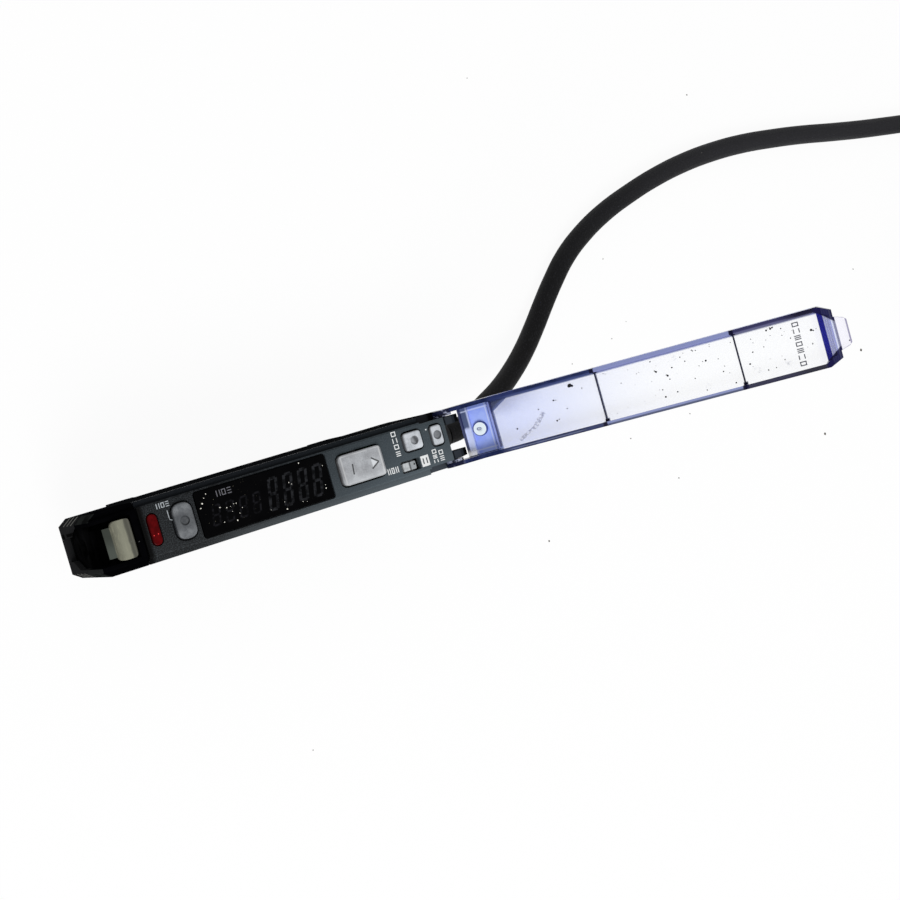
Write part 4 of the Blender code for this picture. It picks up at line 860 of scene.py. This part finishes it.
# %% Cover ends
def cover_pocket(axes, soft, colour, solid):
    s, y = axes[:2]
    across = abs(y)
    pocket = fall(s, 6.8, 6.9) * fall(across, 4.1, 4.18)
    inside = tint(rise(soft, 0.3, 0.7), (140, 160, 252), (168, 188, 255))
    pale = fall(s + (soft - 0.5) * 0.8, 3.3, 3.7)
    inside = tint(pale * 0.85, inside, (212, 221, 250))
    patch = between(s, 2.2, 3.3, 0.15) * rise(y + (soft - 0.5) * 1.5, 0.2, 0.9)
    inside = tint(patch * 0.9, inside, (54, 70, 112))
    frame_line = either(between(across, 3.4, 3.62, 0.05), between(s, 6.4, 6.6, 0.05))
    inside = tint(frame_line * 0.7, inside, (214, 224, 255))
    inside = tint(rise(y, 3.66, 3.76) * 0.6, inside, (92, 104, 150))
    inside = tint(fall(s, 2.36, 2.46) * 0.9, inside, (26, 33, 84))
    colour = tint(pocket, colour, inside)
    arm = fall(s, 1.4, 2.0) * rise(across, 3.5, 3.7)
    solid = either(solid, arm * 0.95)
    colour = tint(arm * 0.85, colour, tint(rise(soft, 0.5, 0.62), (20, 22, 42), (176, 180, 206)))
    away = distance(s, y, (4.85, 0.0))
    disc = fall(away, 1.14, 1.22)
    colour = tint(disc, colour, (238, 249, 255))
    colour = tint(between(away, 1.1, 1.28, 0.03) * 0.95, colour, (56, 72, 150))
    centre = ((s - 4.7) ** 2.0 + (y - 0.05) ** 2.0 * 2.2) ** 0.5
    colour = tint(between(centre, 0.2, 0.42, 0.04) * 0.9, colour, (124, 130, 164))
    colour = tint(fall(centre, 0.1, 0.16) * 0.8, colour, (96, 102, 134))
    low_end = pale * fall(y, -3.8, -2.6)
    return colour, either(solid, pocket * (0.96 - low_end * 0.62), disc * 0.97)


def cover_end(axes, colour, solid):
    s, y = axes[:2]
    across = abs(y)
    corners = rise(s, 62.3, 62.9) * fall(s, 65.5, 65.6) * rise(across + s * 0.8, 54.2, 54.5)
    inner = fall(across, 3.9, 4.0)
    colour = tint(between(s, 62.0, 62.95, 0.3) * inner * 0.45, colour, (132, 142, 232))
    crease = between(s, 62.95, 63.85, 0.06)
    colour = tint(crease, colour, (40, 41, 142))
    slope = between(s, 63.85, 65.6, 0.04)
    lines = rise((s * 18.0).math("SINE", s * 18.0), 0.2, 0.9)
    colour = tint(slope, colour, tint(lines, (112, 120, 206), (160, 170, 222)))
    colour = tint(between(s, 64.95, 65.2, 0.04) * 0.8, colour, (226, 234, 255))
    colour = tint(between(s, 65.22, 65.58, 0.04) * 0.85, colour, (50, 50, 104))
    colour = tint(corners * 0.95, colour, (22, 19, 58))
    solid = either(solid, crease * 0.97, slope * 0.55, corners * 0.97)
    tab = rise(s, 65.55, 65.62)
    edge = either(rise(s, 67.0, 67.1), rise(across + (s - 67.3) * 0.353, 2.0, 2.08))
    colour = tint(tab, colour, tint(edge * 0.8, (222, 218, 250), (118, 112, 146)))
    return colour, solid * (1 - tab) + tab * (0.14 + edge * 0.55)


print("ends ready")

# %% [markdown]
# ## Wear on the cover
# A curved scuff crosses the first length, four pale smudges lie in the other two, and fine
# specks of dirt cling to the plate, more of them towards the far end. Where something lies on
# clear plastic it hides what is behind, so every mark raises the opacity as well.

# %% Cover wear
SMUDGES = (((51.9, -2.5), 0.9), ((56.9, -2.7), 0.8), ((39.4, 2.9), 0.7), ((43.6, -3.1), 0.7))


def cover_wear(place, axes, soft, fine, colour, solid):
    s, y = axes[:2]
    bent = s + (soft - 0.5) * 1.2
    broad = either(stroke(bent, y, (15.9, -0.2), (13.8, -2.15), 0.75),
                   stroke(bent, y, (13.8, -2.15), (10.8, -3.7), 0.6))
    scuff = either(broad * rise(fine, 0.36, 0.6), stroke(bent, y, (15.95, -0.15), (15.5, -0.8), 0.34))
    colour = tint(scuff * 0.75, colour, (104, 106, 134))
    smudge = either(*(fall(distance(s, y, centre), radius * 0.3, radius) for centre, radius in SMUDGES))
    smudge = smudge * rise(fine, 0.45, 0.65)
    colour = tint(smudge * 0.6, colour, (150, 150, 172))
    on_plate = fall(abs(y), 3.8, 3.95) * rise(s, 8.0, 9.0) * fall(s, 62.5, 62.9)
    specks = either(dust(place, 1.1, 0.11, 0.2) * rise(s, 24.0, 30.0), dust(place, 1.9, 0.13, 0.24))
    specks = specks * on_plate
    colour = tint(specks * 0.9, colour, (40, 40, 58))
    return colour, either(solid, scuff * 0.52, smudge * 0.34, specks * 0.8)


def cover_finish():
    made, shader, place = paint("cover_clear", Specular_IOR_Level=0.06)
    axes = cover_axes(place)
    soft = grain(place, 3.0, 4.0, 0.6)
    fine = grain(place, 0.4, 3.0)
    colour, solid = cover_plate(axes, soft)
    colour, solid = cover_pocket(axes, soft, colour, solid)
    colour, solid = cover_end(axes, colour, solid)
    colour, solid = cover_wear(place, axes, soft, fine, colour, solid)
    apply(shader, Base_Color=colour, Alpha=solid, Roughness=0.12 + soft * 0.1, Bump=(fine, 0.004))
    return made


dress(cover_finish(), "dust_cover")
print("cover dressed")

# %% [markdown]
# ## Rubber, copper and the parts inside
# The cable's jacket and its sleeve are soft black vinyl with a dull, slightly dusty skin. The
# four leads are the four colours of such a cable, stripped at their ends. Inside the case are
# boards, switches and a metal can. They only show through the slots, but each still has its own
# finish: solder mask with tracks, tinned steel with rolling lines, and a coloured sleeve.

# %% Rubber
def dusty_skin(shader, place, colour, soft, fine):
    """The dull skin that the cable and its sleeve share."""
    colour = tint(dust(place, 1.6, 0.09, 0.2), colour, (110, 108, 104))
    apply(shader, Base_Color=colour, Roughness=0.5 + soft * 0.25, Bump=(fine, 0.02))


def boot_finish():
    made, shader, place = paint("boot_rubber", Specular_IOR_Level=0.3)
    soft = grain(place, 5.0, 4.0, 0.6)
    colour = tint(rise(soft, 0.35, 0.75), (12, 12, 13), (22, 22, 24))
    dusty_skin(shader, place, colour, soft, grain(place, 0.3, 3.0))
    return made


def cable_finish():
    made, shader, place = paint("cable_vinyl", Specular_IOR_Level=0.14)
    x = in_mm(place)[0]
    soft = grain(place, 9.0, 4.0, 0.6)
    fine = grain(place, 0.3, 3.0)
    along = rise(x + (soft - 0.5) * 30.0, 58.0, 130.0)
    colour = tint(along, (7, 7, 8), (34, 34, 37))
    colour = tint(rise(fine, 0.5, 0.7) * 0.15, colour, (70, 70, 74))
    dusty_skin(shader, place, colour, soft, fine)
    return made


cable.data.materials.append(cable_finish())
dress(boot_finish(), "cable_boot")
LEAD_COLOURS = {"lead_brown": (92, 52, 30), "lead_black": (26, 26, 28), "lead_blue": (36, 74, 156),
                "lead_orange": (214, 112, 34)}
for name, colour in LEAD_COLOURS.items():
    darker_tone = tuple(value * 0.85 for value in colour)
    dress(moulded("vinyl_" + name, darker_tone, colour, 0.42, 0.4, 1.5), name)
print("cable and leads dressed")

# %% Metal and boards
def metal(name, colour, roughness):
    made, shader, place = paint(name)
    shader.inputs["Metallic"].default_value = 1.0
    soft = grain(place, 1.5, 3.0)
    rolled = grain(place.node("ShaderNodeMapping", {}, {0: place, "Scale": (1.0, 1.0, 14.0)}), 1.5, 2.0)
    worn = tint(rise(soft, 0.5, 0.8) * 0.5, colour, tuple(value * 0.765 for value in colour))
    apply(shader, Base_Color=worn, Roughness=roughness + rolled * 0.2, Bump=(rolled, 0.01))
    return made


def solder_mask():
    made, shader, place = paint("solder_mask", Specular_IOR_Level=0.5)
    tracks = in_mm(place)[0] * 2.2 + grain(place, 6.0) * 9.0
    track = rise(tracks.math("SINE", tracks), 0.55, 0.75)
    pads = dust(place, 2.1, 0.42, 0.5)
    colour = tint(track, (16, 74, 40), (28, 104, 56))
    colour = tint(pads, colour, (196, 196, 190))
    apply(shader, Base_Color=colour, Roughness=0.35 + pads * 0.1, Metallic=pads,
          Bump=(either(track, pads), 0.02))
    return made


dress(moulded("blackened_steel", (3, 3, 3), (8, 8, 9), 0.5), "lever_pin", "fibre_clamp")
tinned = metal("tinned_steel", (206, 205, 202), 0.28)
dress(tinned, "shield_can", "emitter_led", "receiver_diode",
      *(key + "_switch" for key in ("set", "mode", "output", "up", "down", "selector")))
dress(solder_mask(), "button_board", "main_board")
dress(moulded("sleeve_blue", (24, 26, 60), (36, 40, 84), 0.3, 0.5), "filter_capacitor")
dress(moulded("terminal_white", (206, 204, 194), (228, 226, 218), 0.45), "cable_terminal")
dress(moulded("lamp_white", (220, 220, 214), (240, 240, 236), 0.35), "indicator_led")
dress(moulded("header_black", (18, 18, 19), (32, 32, 34), 0.6), "board_link", "link_socket")
print("inside dressed; nodes:", len(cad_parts))

# %% [markdown]
# ## Print on the panel
# The keys carry white print beside them: plain bars, posts, boxes and a dot, worn at the nose
# end and faint on the window. Print is a film of ink two hundredths of a millimetre thick, so
# small blocks that stand that much proud of the panel look right from every side and need no
# picture.

# %% Print
PANEL_TOP = 24.0
INK = 0.02
DOT_RADIUS = 0.13


def add_block(shape, centre, size):
    made = bmesh.ops.create_cube(shape, size=1.0)
    bmesh.ops.scale(shape, verts=made["verts"], vec=size)
    bmesh.ops.translate(shape, verts=made["verts"], vec=centre)
    return made["verts"]


def into_object(shape, name, finish, body, smooth=False):
    """Turns millimetres into metres, gives the piece its finish and hangs it on its body."""
    bmesh.ops.scale(shape, verts=shape.verts, vec=(MM, MM, MM))
    bmesh.ops.recalc_face_normals(shape, faces=shape.faces)
    made = place_mesh(shape, name, finish)
    if smooth:
        made.data.shade_smooth()
        made.data.set_sharp_from_angle(angle=math.radians(40))
    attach(made, body)
    return made


def ink_finish(name, pale, worn):
    made, shader, place = paint(name, Specular_IOR_Level=0.3)
    soft = grain(place, 0.25, 3.0)
    apply(shader, Base_Color=tint(rise(soft, 0.5, 0.8) * 0.5, pale, worn), Roughness=0.5 + soft * 0.2)
    return made


white_ink = ink_finish("white_ink", (226, 228, 228), (150, 152, 154))
worn_ink = ink_finish("worn_ink", (158, 164, 168), (84, 88, 92))
grey_ink = ink_finish("grey_ink", (70, 74, 78), (50, 54, 58))
faint_ink = ink_finish("faint_ink", (98, 98, 104), (44, 44, 48))


def add_sign(shape, kind, centre, size, line=0.15):
    """A plain sign drawn with thin strokes: a hollow box, three level bars or two posts."""
    wide, tall = size
    side = (wide - line) / 2
    level = (tall - line) / 2
    post = (line, tall - line * 2)
    strokes = {"box": ((0, level, wide, line), (0, -level, wide, line),
                       (side, 0, *post), (-side, 0, *post)),
               "bars": ((0, level, wide, line), (0, 0, wide, line), (0, -level, wide, line)),
               "posts": ((side, 0, line, tall), (-side, 0, line, tall))}
    for x, y, long, high in strokes[kind]:
        add_block(shape, (centre[0] + x, centre[1] + y, centre[2]), (long, high, INK))


ink_z = PANEL_TOP + INK / 2
print_shape = bmesh.new()
for kind, y in (("box", 3.36), ("posts", 2.26), ("box", 1.2), ("bars", 0.05)):
    add_sign(print_shape, kind, (20.45, y, ink_z), (0.85, 0.8))
for kind, x in (("posts", 17.95), ("box", 18.68), ("posts", 19.45)):
    add_sign(print_shape, kind, (x, -2.36, ink_z), (0.52, 1.0))
for kind, x, y, tall in (("posts", 26.85, -2.98, 0.5), ("bars", 26.85, -2.2, 0.6), ("box", 26.9, -1.32, 0.7),
                         ("bars", 28.1, -2.78, 0.8), ("box", 28.1, -1.75, 0.75)):
    add_sign(print_shape, kind, (x, y, ink_z), (0.8, tall))
add_block(print_shape, (24.87, -2.36, ink_z), (1.5, 1.8, INK))
dot = bmesh.ops.create_cone(print_shape, cap_ends=True, segments=16, radius1=DOT_RADIUS,
                            radius2=DOT_RADIUS, depth=INK)
bmesh.ops.translate(print_shape, verts=dot["verts"], vec=(26.52, 2.54, ink_z))
panel_print = into_object(print_shape, "panel_print", white_ink, "amplifier")

set_shape = bmesh.new()
for kind, x in (("posts", -20.95), ("box", -20.2), ("bars", -19.45)):
    add_sign(set_shape, kind, (x, 3.24, ink_z), (0.56, 0.82), 0.14)
add_block(set_shape, (-19.76, 1.6, ink_z), (0.13, 1.3, INK))
corner = add_block(set_shape, (-19.5, 0.79, ink_z), (0.46, 0.13, INK))
bmesh.ops.rotate(set_shape, verts=corner, cent=(-19.7, 0.9, ink_z),
                 matrix=Matrix.Rotation(math.radians(-28), 3, "Z"))
into_object(set_shape, "set_print", worn_ink, "amplifier")

box_shape = bmesh.new()
add_sign(box_shape, "posts", (24.87, -2.36, PANEL_TOP + INK * 1.5), (0.85, 0.95), 0.2)
into_object(box_shape, "print_posts", grey_ink, "amplifier")

WINDOW_TOP = 23.98
faint_shape = bmesh.new()
for kind, x in (("posts", -11.2), ("box", -10.3), ("bars", -9.35)):
    add_sign(faint_shape, kind, (x, 2.48, WINDOW_TOP + INK / 2), (0.66, 0.95), 0.13)
into_object(faint_shape, "window_print", faint_ink, "amplifier")
print("print blocks:", len(panel_print.data.polygons) // 6)

# %% [markdown]
# ## Dust on the window
# A few grains on the black window are large enough to see one by one, so they get a shape of
# their own: small low domes on the glass. The same helper also makes the grit on the cover and
# the crumbs on the white sheet.

# %% Window dust
SEED = 7


def add_grains(shape, grains, height, rng):
    """Low domes at (x, y, width) on a level of zero, each stretched and turned a little."""
    made = []
    for x, y, width in grains:
        verts = bmesh.ops.create_icosphere(shape, subdivisions=1, radius=1.0)["verts"]
        wide = width * rng.uniform(0.75, 1.25)
        bmesh.ops.scale(shape, verts=verts, vec=(wide / 2, width / 2, height))
        bmesh.ops.rotate(shape, verts=verts, matrix=Matrix.Rotation(rng.uniform(0, 3), 3, "Z"))
        bmesh.ops.translate(shape, verts=verts, vec=(x, y, 0.0))
        made += verts
    return made


WINDOW_GRAINS = (
    (-14.13, 1.65, 0.3), (-14.55, 1.02, 0.22), (-13.17, 2.93, 0.18), (-13.64, 2.41, 0.18),
    (-11.56, 0.3, 0.24), (-10.51, -0.05, 0.22), (-9.87, -0.04, 0.12), (-9.26, 0.23, 0.14),
    (-8.84, 0.2, 0.15), (-9.38, -2.4, 0.26), (-11.51, -2.08, 0.15), (-8.71, -1.45, 0.14),
    (3.0, 3.34, 0.25), (0.49, 0.86, 0.18), (0.89, 0.5, 0.16), (-0.95, -3.07, 0.24), (-1.07, -1.87, 0.12),
    (1.94, -2.69, 0.16), (2.67, -2.86, 0.1), (6.4, -1.76, 0.24), (6.45, -1.22, 0.14), (6.85, 1.85, 0.13),
    (-9.79, -0.83, 0.12), (-8.06, -0.73, 0.12), (-3.61, -2.45, 0.1),
)
rng = random.Random(SEED)
window_shape = bmesh.new()
add_grains(window_shape, WINDOW_GRAINS, 0.04, rng)
bmesh.ops.translate(window_shape, verts=window_shape.verts, vec=(0, 0, WINDOW_TOP))
pale_dust = ink_finish("pale_dust", (236, 234, 222), (150, 148, 136))
into_object(window_shape, "window_dust", pale_dust, "amplifier", smooth=True)
print("grains on the window:", len(WINDOW_GRAINS))

# %% [markdown]
# ## Grit on the cover
# Dark grains stick to the inside of the plate, some alone and some in a loose cluster in the
# middle length, and finer ones are strewn over the rest. A grain is a low dome a few tenths of a
# millimetre wide. One mesh holds them all: an icosphere for each, flattened against the plate,
# moved and turned from the cover's own directions into place.

# %% Grit
GRAINS = (
    (21.5, 3.05, 0.42), (21.9, 2.9, 0.28), (18.2, 1.35, 0.22), (18.6, 1.3, 0.13), (23.4, 2.1, 0.13),
    (20.1, -0.55, 0.12), (17.9, -2.1, 0.2), (18.3, -1.95, 0.13), (15.3, 0.55, 0.14), (10.9, -1.7, 0.2),
    (42.5, 3.4, 0.16), (43.1, 3.2, 0.12), (44.3, 1.15, 0.2), (46.3, 0.9, 0.12), (38.7, 1.5, 0.2),
    (37.7, 0.4, 0.26), (37.5, 0.55, 0.14), (37.9, -0.25, 0.16), (35.5, 3.35, 0.16), (36.0, 1.5, 0.26),
    (35.8, 1.7, 0.14), (40.4, 2.8, 0.13), (41.0, 1.95, 0.15), (41.9, -1.2, 0.14), (46.6, -1.3, 0.14),
    (47.0, -0.5, 0.12), (48.1, -3.6, 0.18), (43.3, -3.55, 0.14), (38.6, -2.6, 0.2), (36.5, -2.9, 0.22),
    (36.3, -1.65, 0.13), (54.8, 3.3, 0.2), (55.5, 3.4, 0.22), (55.8, 3.5, 0.16), (57.1, 3.0, 0.13),
    (53.8, 0.85, 0.13), (51.9, 0.5, 0.18), (58.2, 1.1, 0.15), (57.0, 1.9, 0.12), (52.1, 2.6, 0.12),
    (53.6, -2.95, 0.18), (54.9, -2.9, 0.14), (56.5, -2.0, 0.16), (61.6, 1.5, 0.26), (61.9, 1.35, 0.18),
    (62.4, 1.5, 0.1), (61.3, -0.7, 0.13), (51.0, -1.25, 0.2),
)
PLATE_INNER = 4.0
PLATE_OUTER = 4.7
TAB_LEVEL = 1.2
TO_COVER = Matrix.Translation(HINGE) @ Matrix((ALONG, (0, 1, 0), THROUGH)).transposed().to_4x4()

grit_shape = bmesh.new()
add_grains(grit_shape, [(s, y, width * 1.7) for s, y, width in GRAINS], 0.05, rng)
small = [(rng.uniform(27.0, 62.0), rng.uniform(-3.7, 3.7), rng.uniform(0.1, 0.2)) for _ in range(34)]
add_grains(grit_shape, small, 0.04, rng)
bmesh.ops.translate(grit_shape, verts=grit_shape.verts, vec=(0, 0, PLATE_INNER))
on_tab = add_grains(grit_shape, [(66.95, -1.5, 0.26)], 0.05, rng)
bmesh.ops.translate(grit_shape, verts=on_tab, vec=(0, 0, TAB_LEVEL))
bmesh.ops.transform(grit_shape, matrix=TO_COVER, verts=grit_shape.verts)
dirt = ink_finish("dry_dirt", (6, 6, 12), (34, 34, 46))
into_object(grit_shape, "cover_grit", dirt, "dust_cover", smooth=True)
print("grains:", len(GRAINS) + len(small) + 1)

# %% [markdown]
# ## Marks on the cover's end
# Seven plain signs stand across the far end of the plate, printed on its outside in grey ink,
# so the camera sees them through the plastic. The bosses round the hinge pins close most of
# the gap between the cover's arms and the ears. They're round about the hinge line, so they
# pass the ears freely when the cover turns.

# %% Cover print and pin bosses
BOSS_RADIUS = 1.5
BOSS_DEPTH = 0.4
BOSS_SIDE = 3.97

mark_shape = bmesh.new()
for number, kind in enumerate(("box", "posts", "bars", "box", "bars", "posts", "box")):
    add_sign(mark_shape, kind, (59.35 - number * 0.04, 3.0 - number * 1.07, 0.0), (1.05, 0.74), 0.17)
bmesh.ops.translate(mark_shape, verts=mark_shape.verts, vec=(0, 0, PLATE_OUTER + INK / 2))
bmesh.ops.transform(mark_shape, matrix=TO_COVER, verts=mark_shape.verts)
cover_ink = ink_finish("cover_ink", (40, 40, 52), (84, 84, 96))
into_object(mark_shape, "cover_print", cover_ink, "dust_cover")


def boss_finish():
    made, shader, place = paint("boss_tint", Specular_IOR_Level=0.2)
    soft = grain(place, 0.9, 4.0, 0.6)
    colour = tint(rise(soft, 0.46, 0.58), (18, 20, 40), (176, 182, 210))
    apply(shader, Base_Color=colour, Alpha=0.9 - rise(soft, 0.46, 0.58) * 0.3, Roughness=0.3 + soft * 0.1)
    return made


boss_shape = bmesh.new()
for side in (1, -1):
    boss = bmesh.ops.create_cone(boss_shape, cap_ends=True, segments=32, radius1=BOSS_RADIUS,
                                 radius2=BOSS_RADIUS, depth=BOSS_DEPTH)
    bmesh.ops.rotate(boss_shape, verts=boss["verts"], matrix=Matrix.Rotation(math.pi / 2, 3, "X"))
    bmesh.ops.translate(boss_shape, verts=boss["verts"], vec=(HINGE[0], side * BOSS_SIDE, HINGE[2]))
into_object(boss_shape, "pin_bosses", boss_finish(), "dust_cover")
print("cover print and pin bosses done")

# %% [markdown]
# ## Bare copper and the coil's ties
# The four leads are stripped and their strands twisted and tinned. A short turned pin with a
# few grooves reads as twisted strands at this size, and a spin makes it from its outline. Two
# soft ties hold the coil. Each is an outline of four corners round the bundle, extruded to the
# width of the strap, rounded with a bevel and given a thickness.

# %% Lead tips
CAP_ANGLE = 0.02
TIP_PROFILE = (
    (-0.2, 0.0), (-0.2, 0.32), (0.6, 0.35), (0.8, 0.3), (1.4, 0.35), (1.6, 0.3), (2.2, 0.35),
    (2.4, 0.3), (3.0, 0.34), (3.2, 0.3), (3.8, 0.3), (4.0, 0.0),
)


def lead_end(name):
    """The far end of a lead and the direction it points in, measured on its CAD node."""
    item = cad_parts[name]
    points = [item.matrix_world @ v.co for v in item.data.vertices]
    centre = Vector(COIL_CENTRE + (0.0,)) * MM
    angles = [math.atan2(p.y - centre.y, p.x - centre.x) for p in points]
    last = min(angles)
    cap = [p for p, a in zip(points, angles) if a < last + CAP_ANGLE]
    middle = sum(cap, Vector()) / len(cap)
    radial = (middle - centre).normalized()
    return middle, Vector((radial.y, -radial.x, 0.0)).normalized()


tip_finish = metal("tinned_copper", (229, 206, 181), 0.35)
for name in LEAD_COLOURS:
    end, heading = lead_end(name)
    tip_shape = bmesh.new()
    profile = [tip_shape.verts.new((along, 0.0, radius)) for along, radius in TIP_PROFILE]
    edges = [tip_shape.edges.new(pair) for pair in zip(profile, profile[1:])]
    bmesh.ops.spin(tip_shape, geom=profile + edges, cent=(0, 0, 0), axis=(1, 0, 0), angle=math.tau,
                   steps=12, use_merge=True)
    bmesh.ops.remove_doubles(tip_shape, verts=tip_shape.verts, dist=0.0005)
    turn = heading.to_track_quat("X", "Z").to_matrix().to_4x4()
    bmesh.ops.transform(tip_shape, matrix=Matrix.Translation(end / MM) @ turn, verts=tip_shape.verts)
    into_object(tip_shape, "tip_" + name, tip_finish, "amplifier", smooth=True)

# %% Ties
STRAP_INNER = 12.0
STRAP_OUTER = 32.6
STRAP_TOP = 8.9
STRAP_WIDTH = 3.2
STRAP_THICK = 0.6
STRAP_BEND = 2.2
STRAP_LOW = FLOOR_LEVEL + STRAP_THICK
STRAP = ((STRAP_INNER, STRAP_LOW), (STRAP_OUTER, STRAP_LOW),
         (STRAP_OUTER, STRAP_TOP), (STRAP_INNER, STRAP_TOP))

tie_finish = moulded("tie_black", (28, 28, 30), (44, 44, 46), 0.5, 0.35, 2.0)
for number, degrees in enumerate((205, 330), 1):
    tie_shape = bmesh.new()
    ring = [tie_shape.verts.new((x, -STRAP_WIDTH / 2, z)) for x, z in STRAP]
    loop = [tie_shape.edges.new(pair) for pair in zip(ring, ring[1:] + ring[:1])]
    swept = bmesh.ops.extrude_edge_only(tie_shape, edges=loop)["geom"]
    far_ring = [part for part in swept if isinstance(part, bmesh.types.BMVert)]
    bmesh.ops.translate(tie_shape, verts=far_ring, vec=(0, STRAP_WIDTH, 0))
    corners = [edge for edge in tie_shape.edges if len(edge.link_faces) == 2]
    bmesh.ops.bevel(tie_shape, geom=corners, offset=STRAP_BEND, segments=4, profile=0.5,
                    affect="EDGES", material=-1)
    bmesh.ops.recalc_face_normals(tie_shape, faces=tie_shape.faces)
    bmesh.ops.solidify(tie_shape, geom=tie_shape.faces[:], thickness=-STRAP_THICK)
    place = Matrix.Translation((*COIL_CENTRE, 0.0)) @ Matrix.Rotation(math.radians(degrees), 4, "Z")
    bmesh.ops.transform(tie_shape, matrix=place, verts=tie_shape.verts)
    into_object(tie_shape, "coil_tie_%d" % number, tie_finish, "amplifier",
                            smooth=True)

# %% [markdown]
# ## Crumbs on the sheet
# A few crumbs lie on the white sheet. They belong to the place, not to the object, so like the
# sheet itself they hang on no body.

# %% Crumbs
CRUMBS = (
    (122.2, 52.8, 0.35), (151.2, -9.8, 0.7), (94.0, -23.1, 0.4), (134.8, -24.7, 0.65), (60.2, -26.2, 0.5),
    (85.1, -12.3, 0.3), (101.0, -11.3, 0.34), (90.2, 23.9, 0.3), (155.1, 7.9, 0.36), (87.1, 8.0, 0.26),
    (76.3, 5.4, 0.24), (70.5, 64.2, 0.26), (2.0, -46.8, 0.24), (91.6, 10.5, 0.22),
)
crumb_shape = bmesh.new()
add_grains(crumb_shape, CRUMBS, 0.06, rng)
bmesh.ops.translate(crumb_shape, verts=crumb_shape.verts, vec=(0, 0, FLOOR_LEVEL))
bmesh.ops.scale(crumb_shape, verts=crumb_shape.verts, vec=(MM, MM, MM))
crumbs = place_mesh(crumb_shape, "crumbs", ink_finish("crumb", (84, 80, 72), (190, 188, 182)))
print("crumbs:", len(CRUMBS))

# %% [markdown]
# ## The claw's spring
# A steel coil spring pushes the rail claw in, and its coils close up against a peg when the claw
# is drawn out. The CAD's spring is one rigid solid that the claw would run through. Here a
# small ring is swept along a screw to make the wire, over the length of the CAD spring's box,
# and the CAD spring is hidden.

# %% Claw spring
SPRING_WIRE = 0.15
SPRING_TURNS = 7
SPRING_STEPS = SPRING_TURNS * 20
spring_low, spring_high = [[value / MM for value in corner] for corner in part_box("din_spring")]
spring_radius = (spring_high[1] - spring_low[1]) / 2 - SPRING_WIRE
spring_height = (spring_low[2] + spring_high[2]) / 2
spring_length = spring_high[0] - spring_low[0]
first_coil = (spring_low[0] + SPRING_WIRE, 0, spring_height)
spring_shape = bmesh.new()
wire_ring = bmesh.ops.create_circle(spring_shape, segments=8, radius=SPRING_WIRE)["verts"]
bmesh.ops.translate(spring_shape, verts=wire_ring, vec=(first_coil[0], spring_radius, spring_height))
ring_edges = list(spring_shape.edges)
swept = bmesh.ops.spin(spring_shape, geom=wire_ring + ring_edges, cent=first_coil, axis=(1, 0, 0),
                       dvec=((spring_length - 2 * SPRING_WIRE) / SPRING_STEPS, 0, 0),
                       angle=math.tau * SPRING_TURNS, steps=SPRING_STEPS)
last_ring = [part for part in swept["geom_last"] if isinstance(part, bmesh.types.BMEdge)]
for ring in (ring_edges, last_ring):
    bmesh.ops.contextual_create(spring_shape, geom=ring)
spring = into_object(spring_shape, "claw_spring", tinned, "amplifier", smooth=True)
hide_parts("din_spring")
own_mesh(spring)
print("spring of", SPRING_TURNS, "turns,", len(spring.data.polygons), "faces")
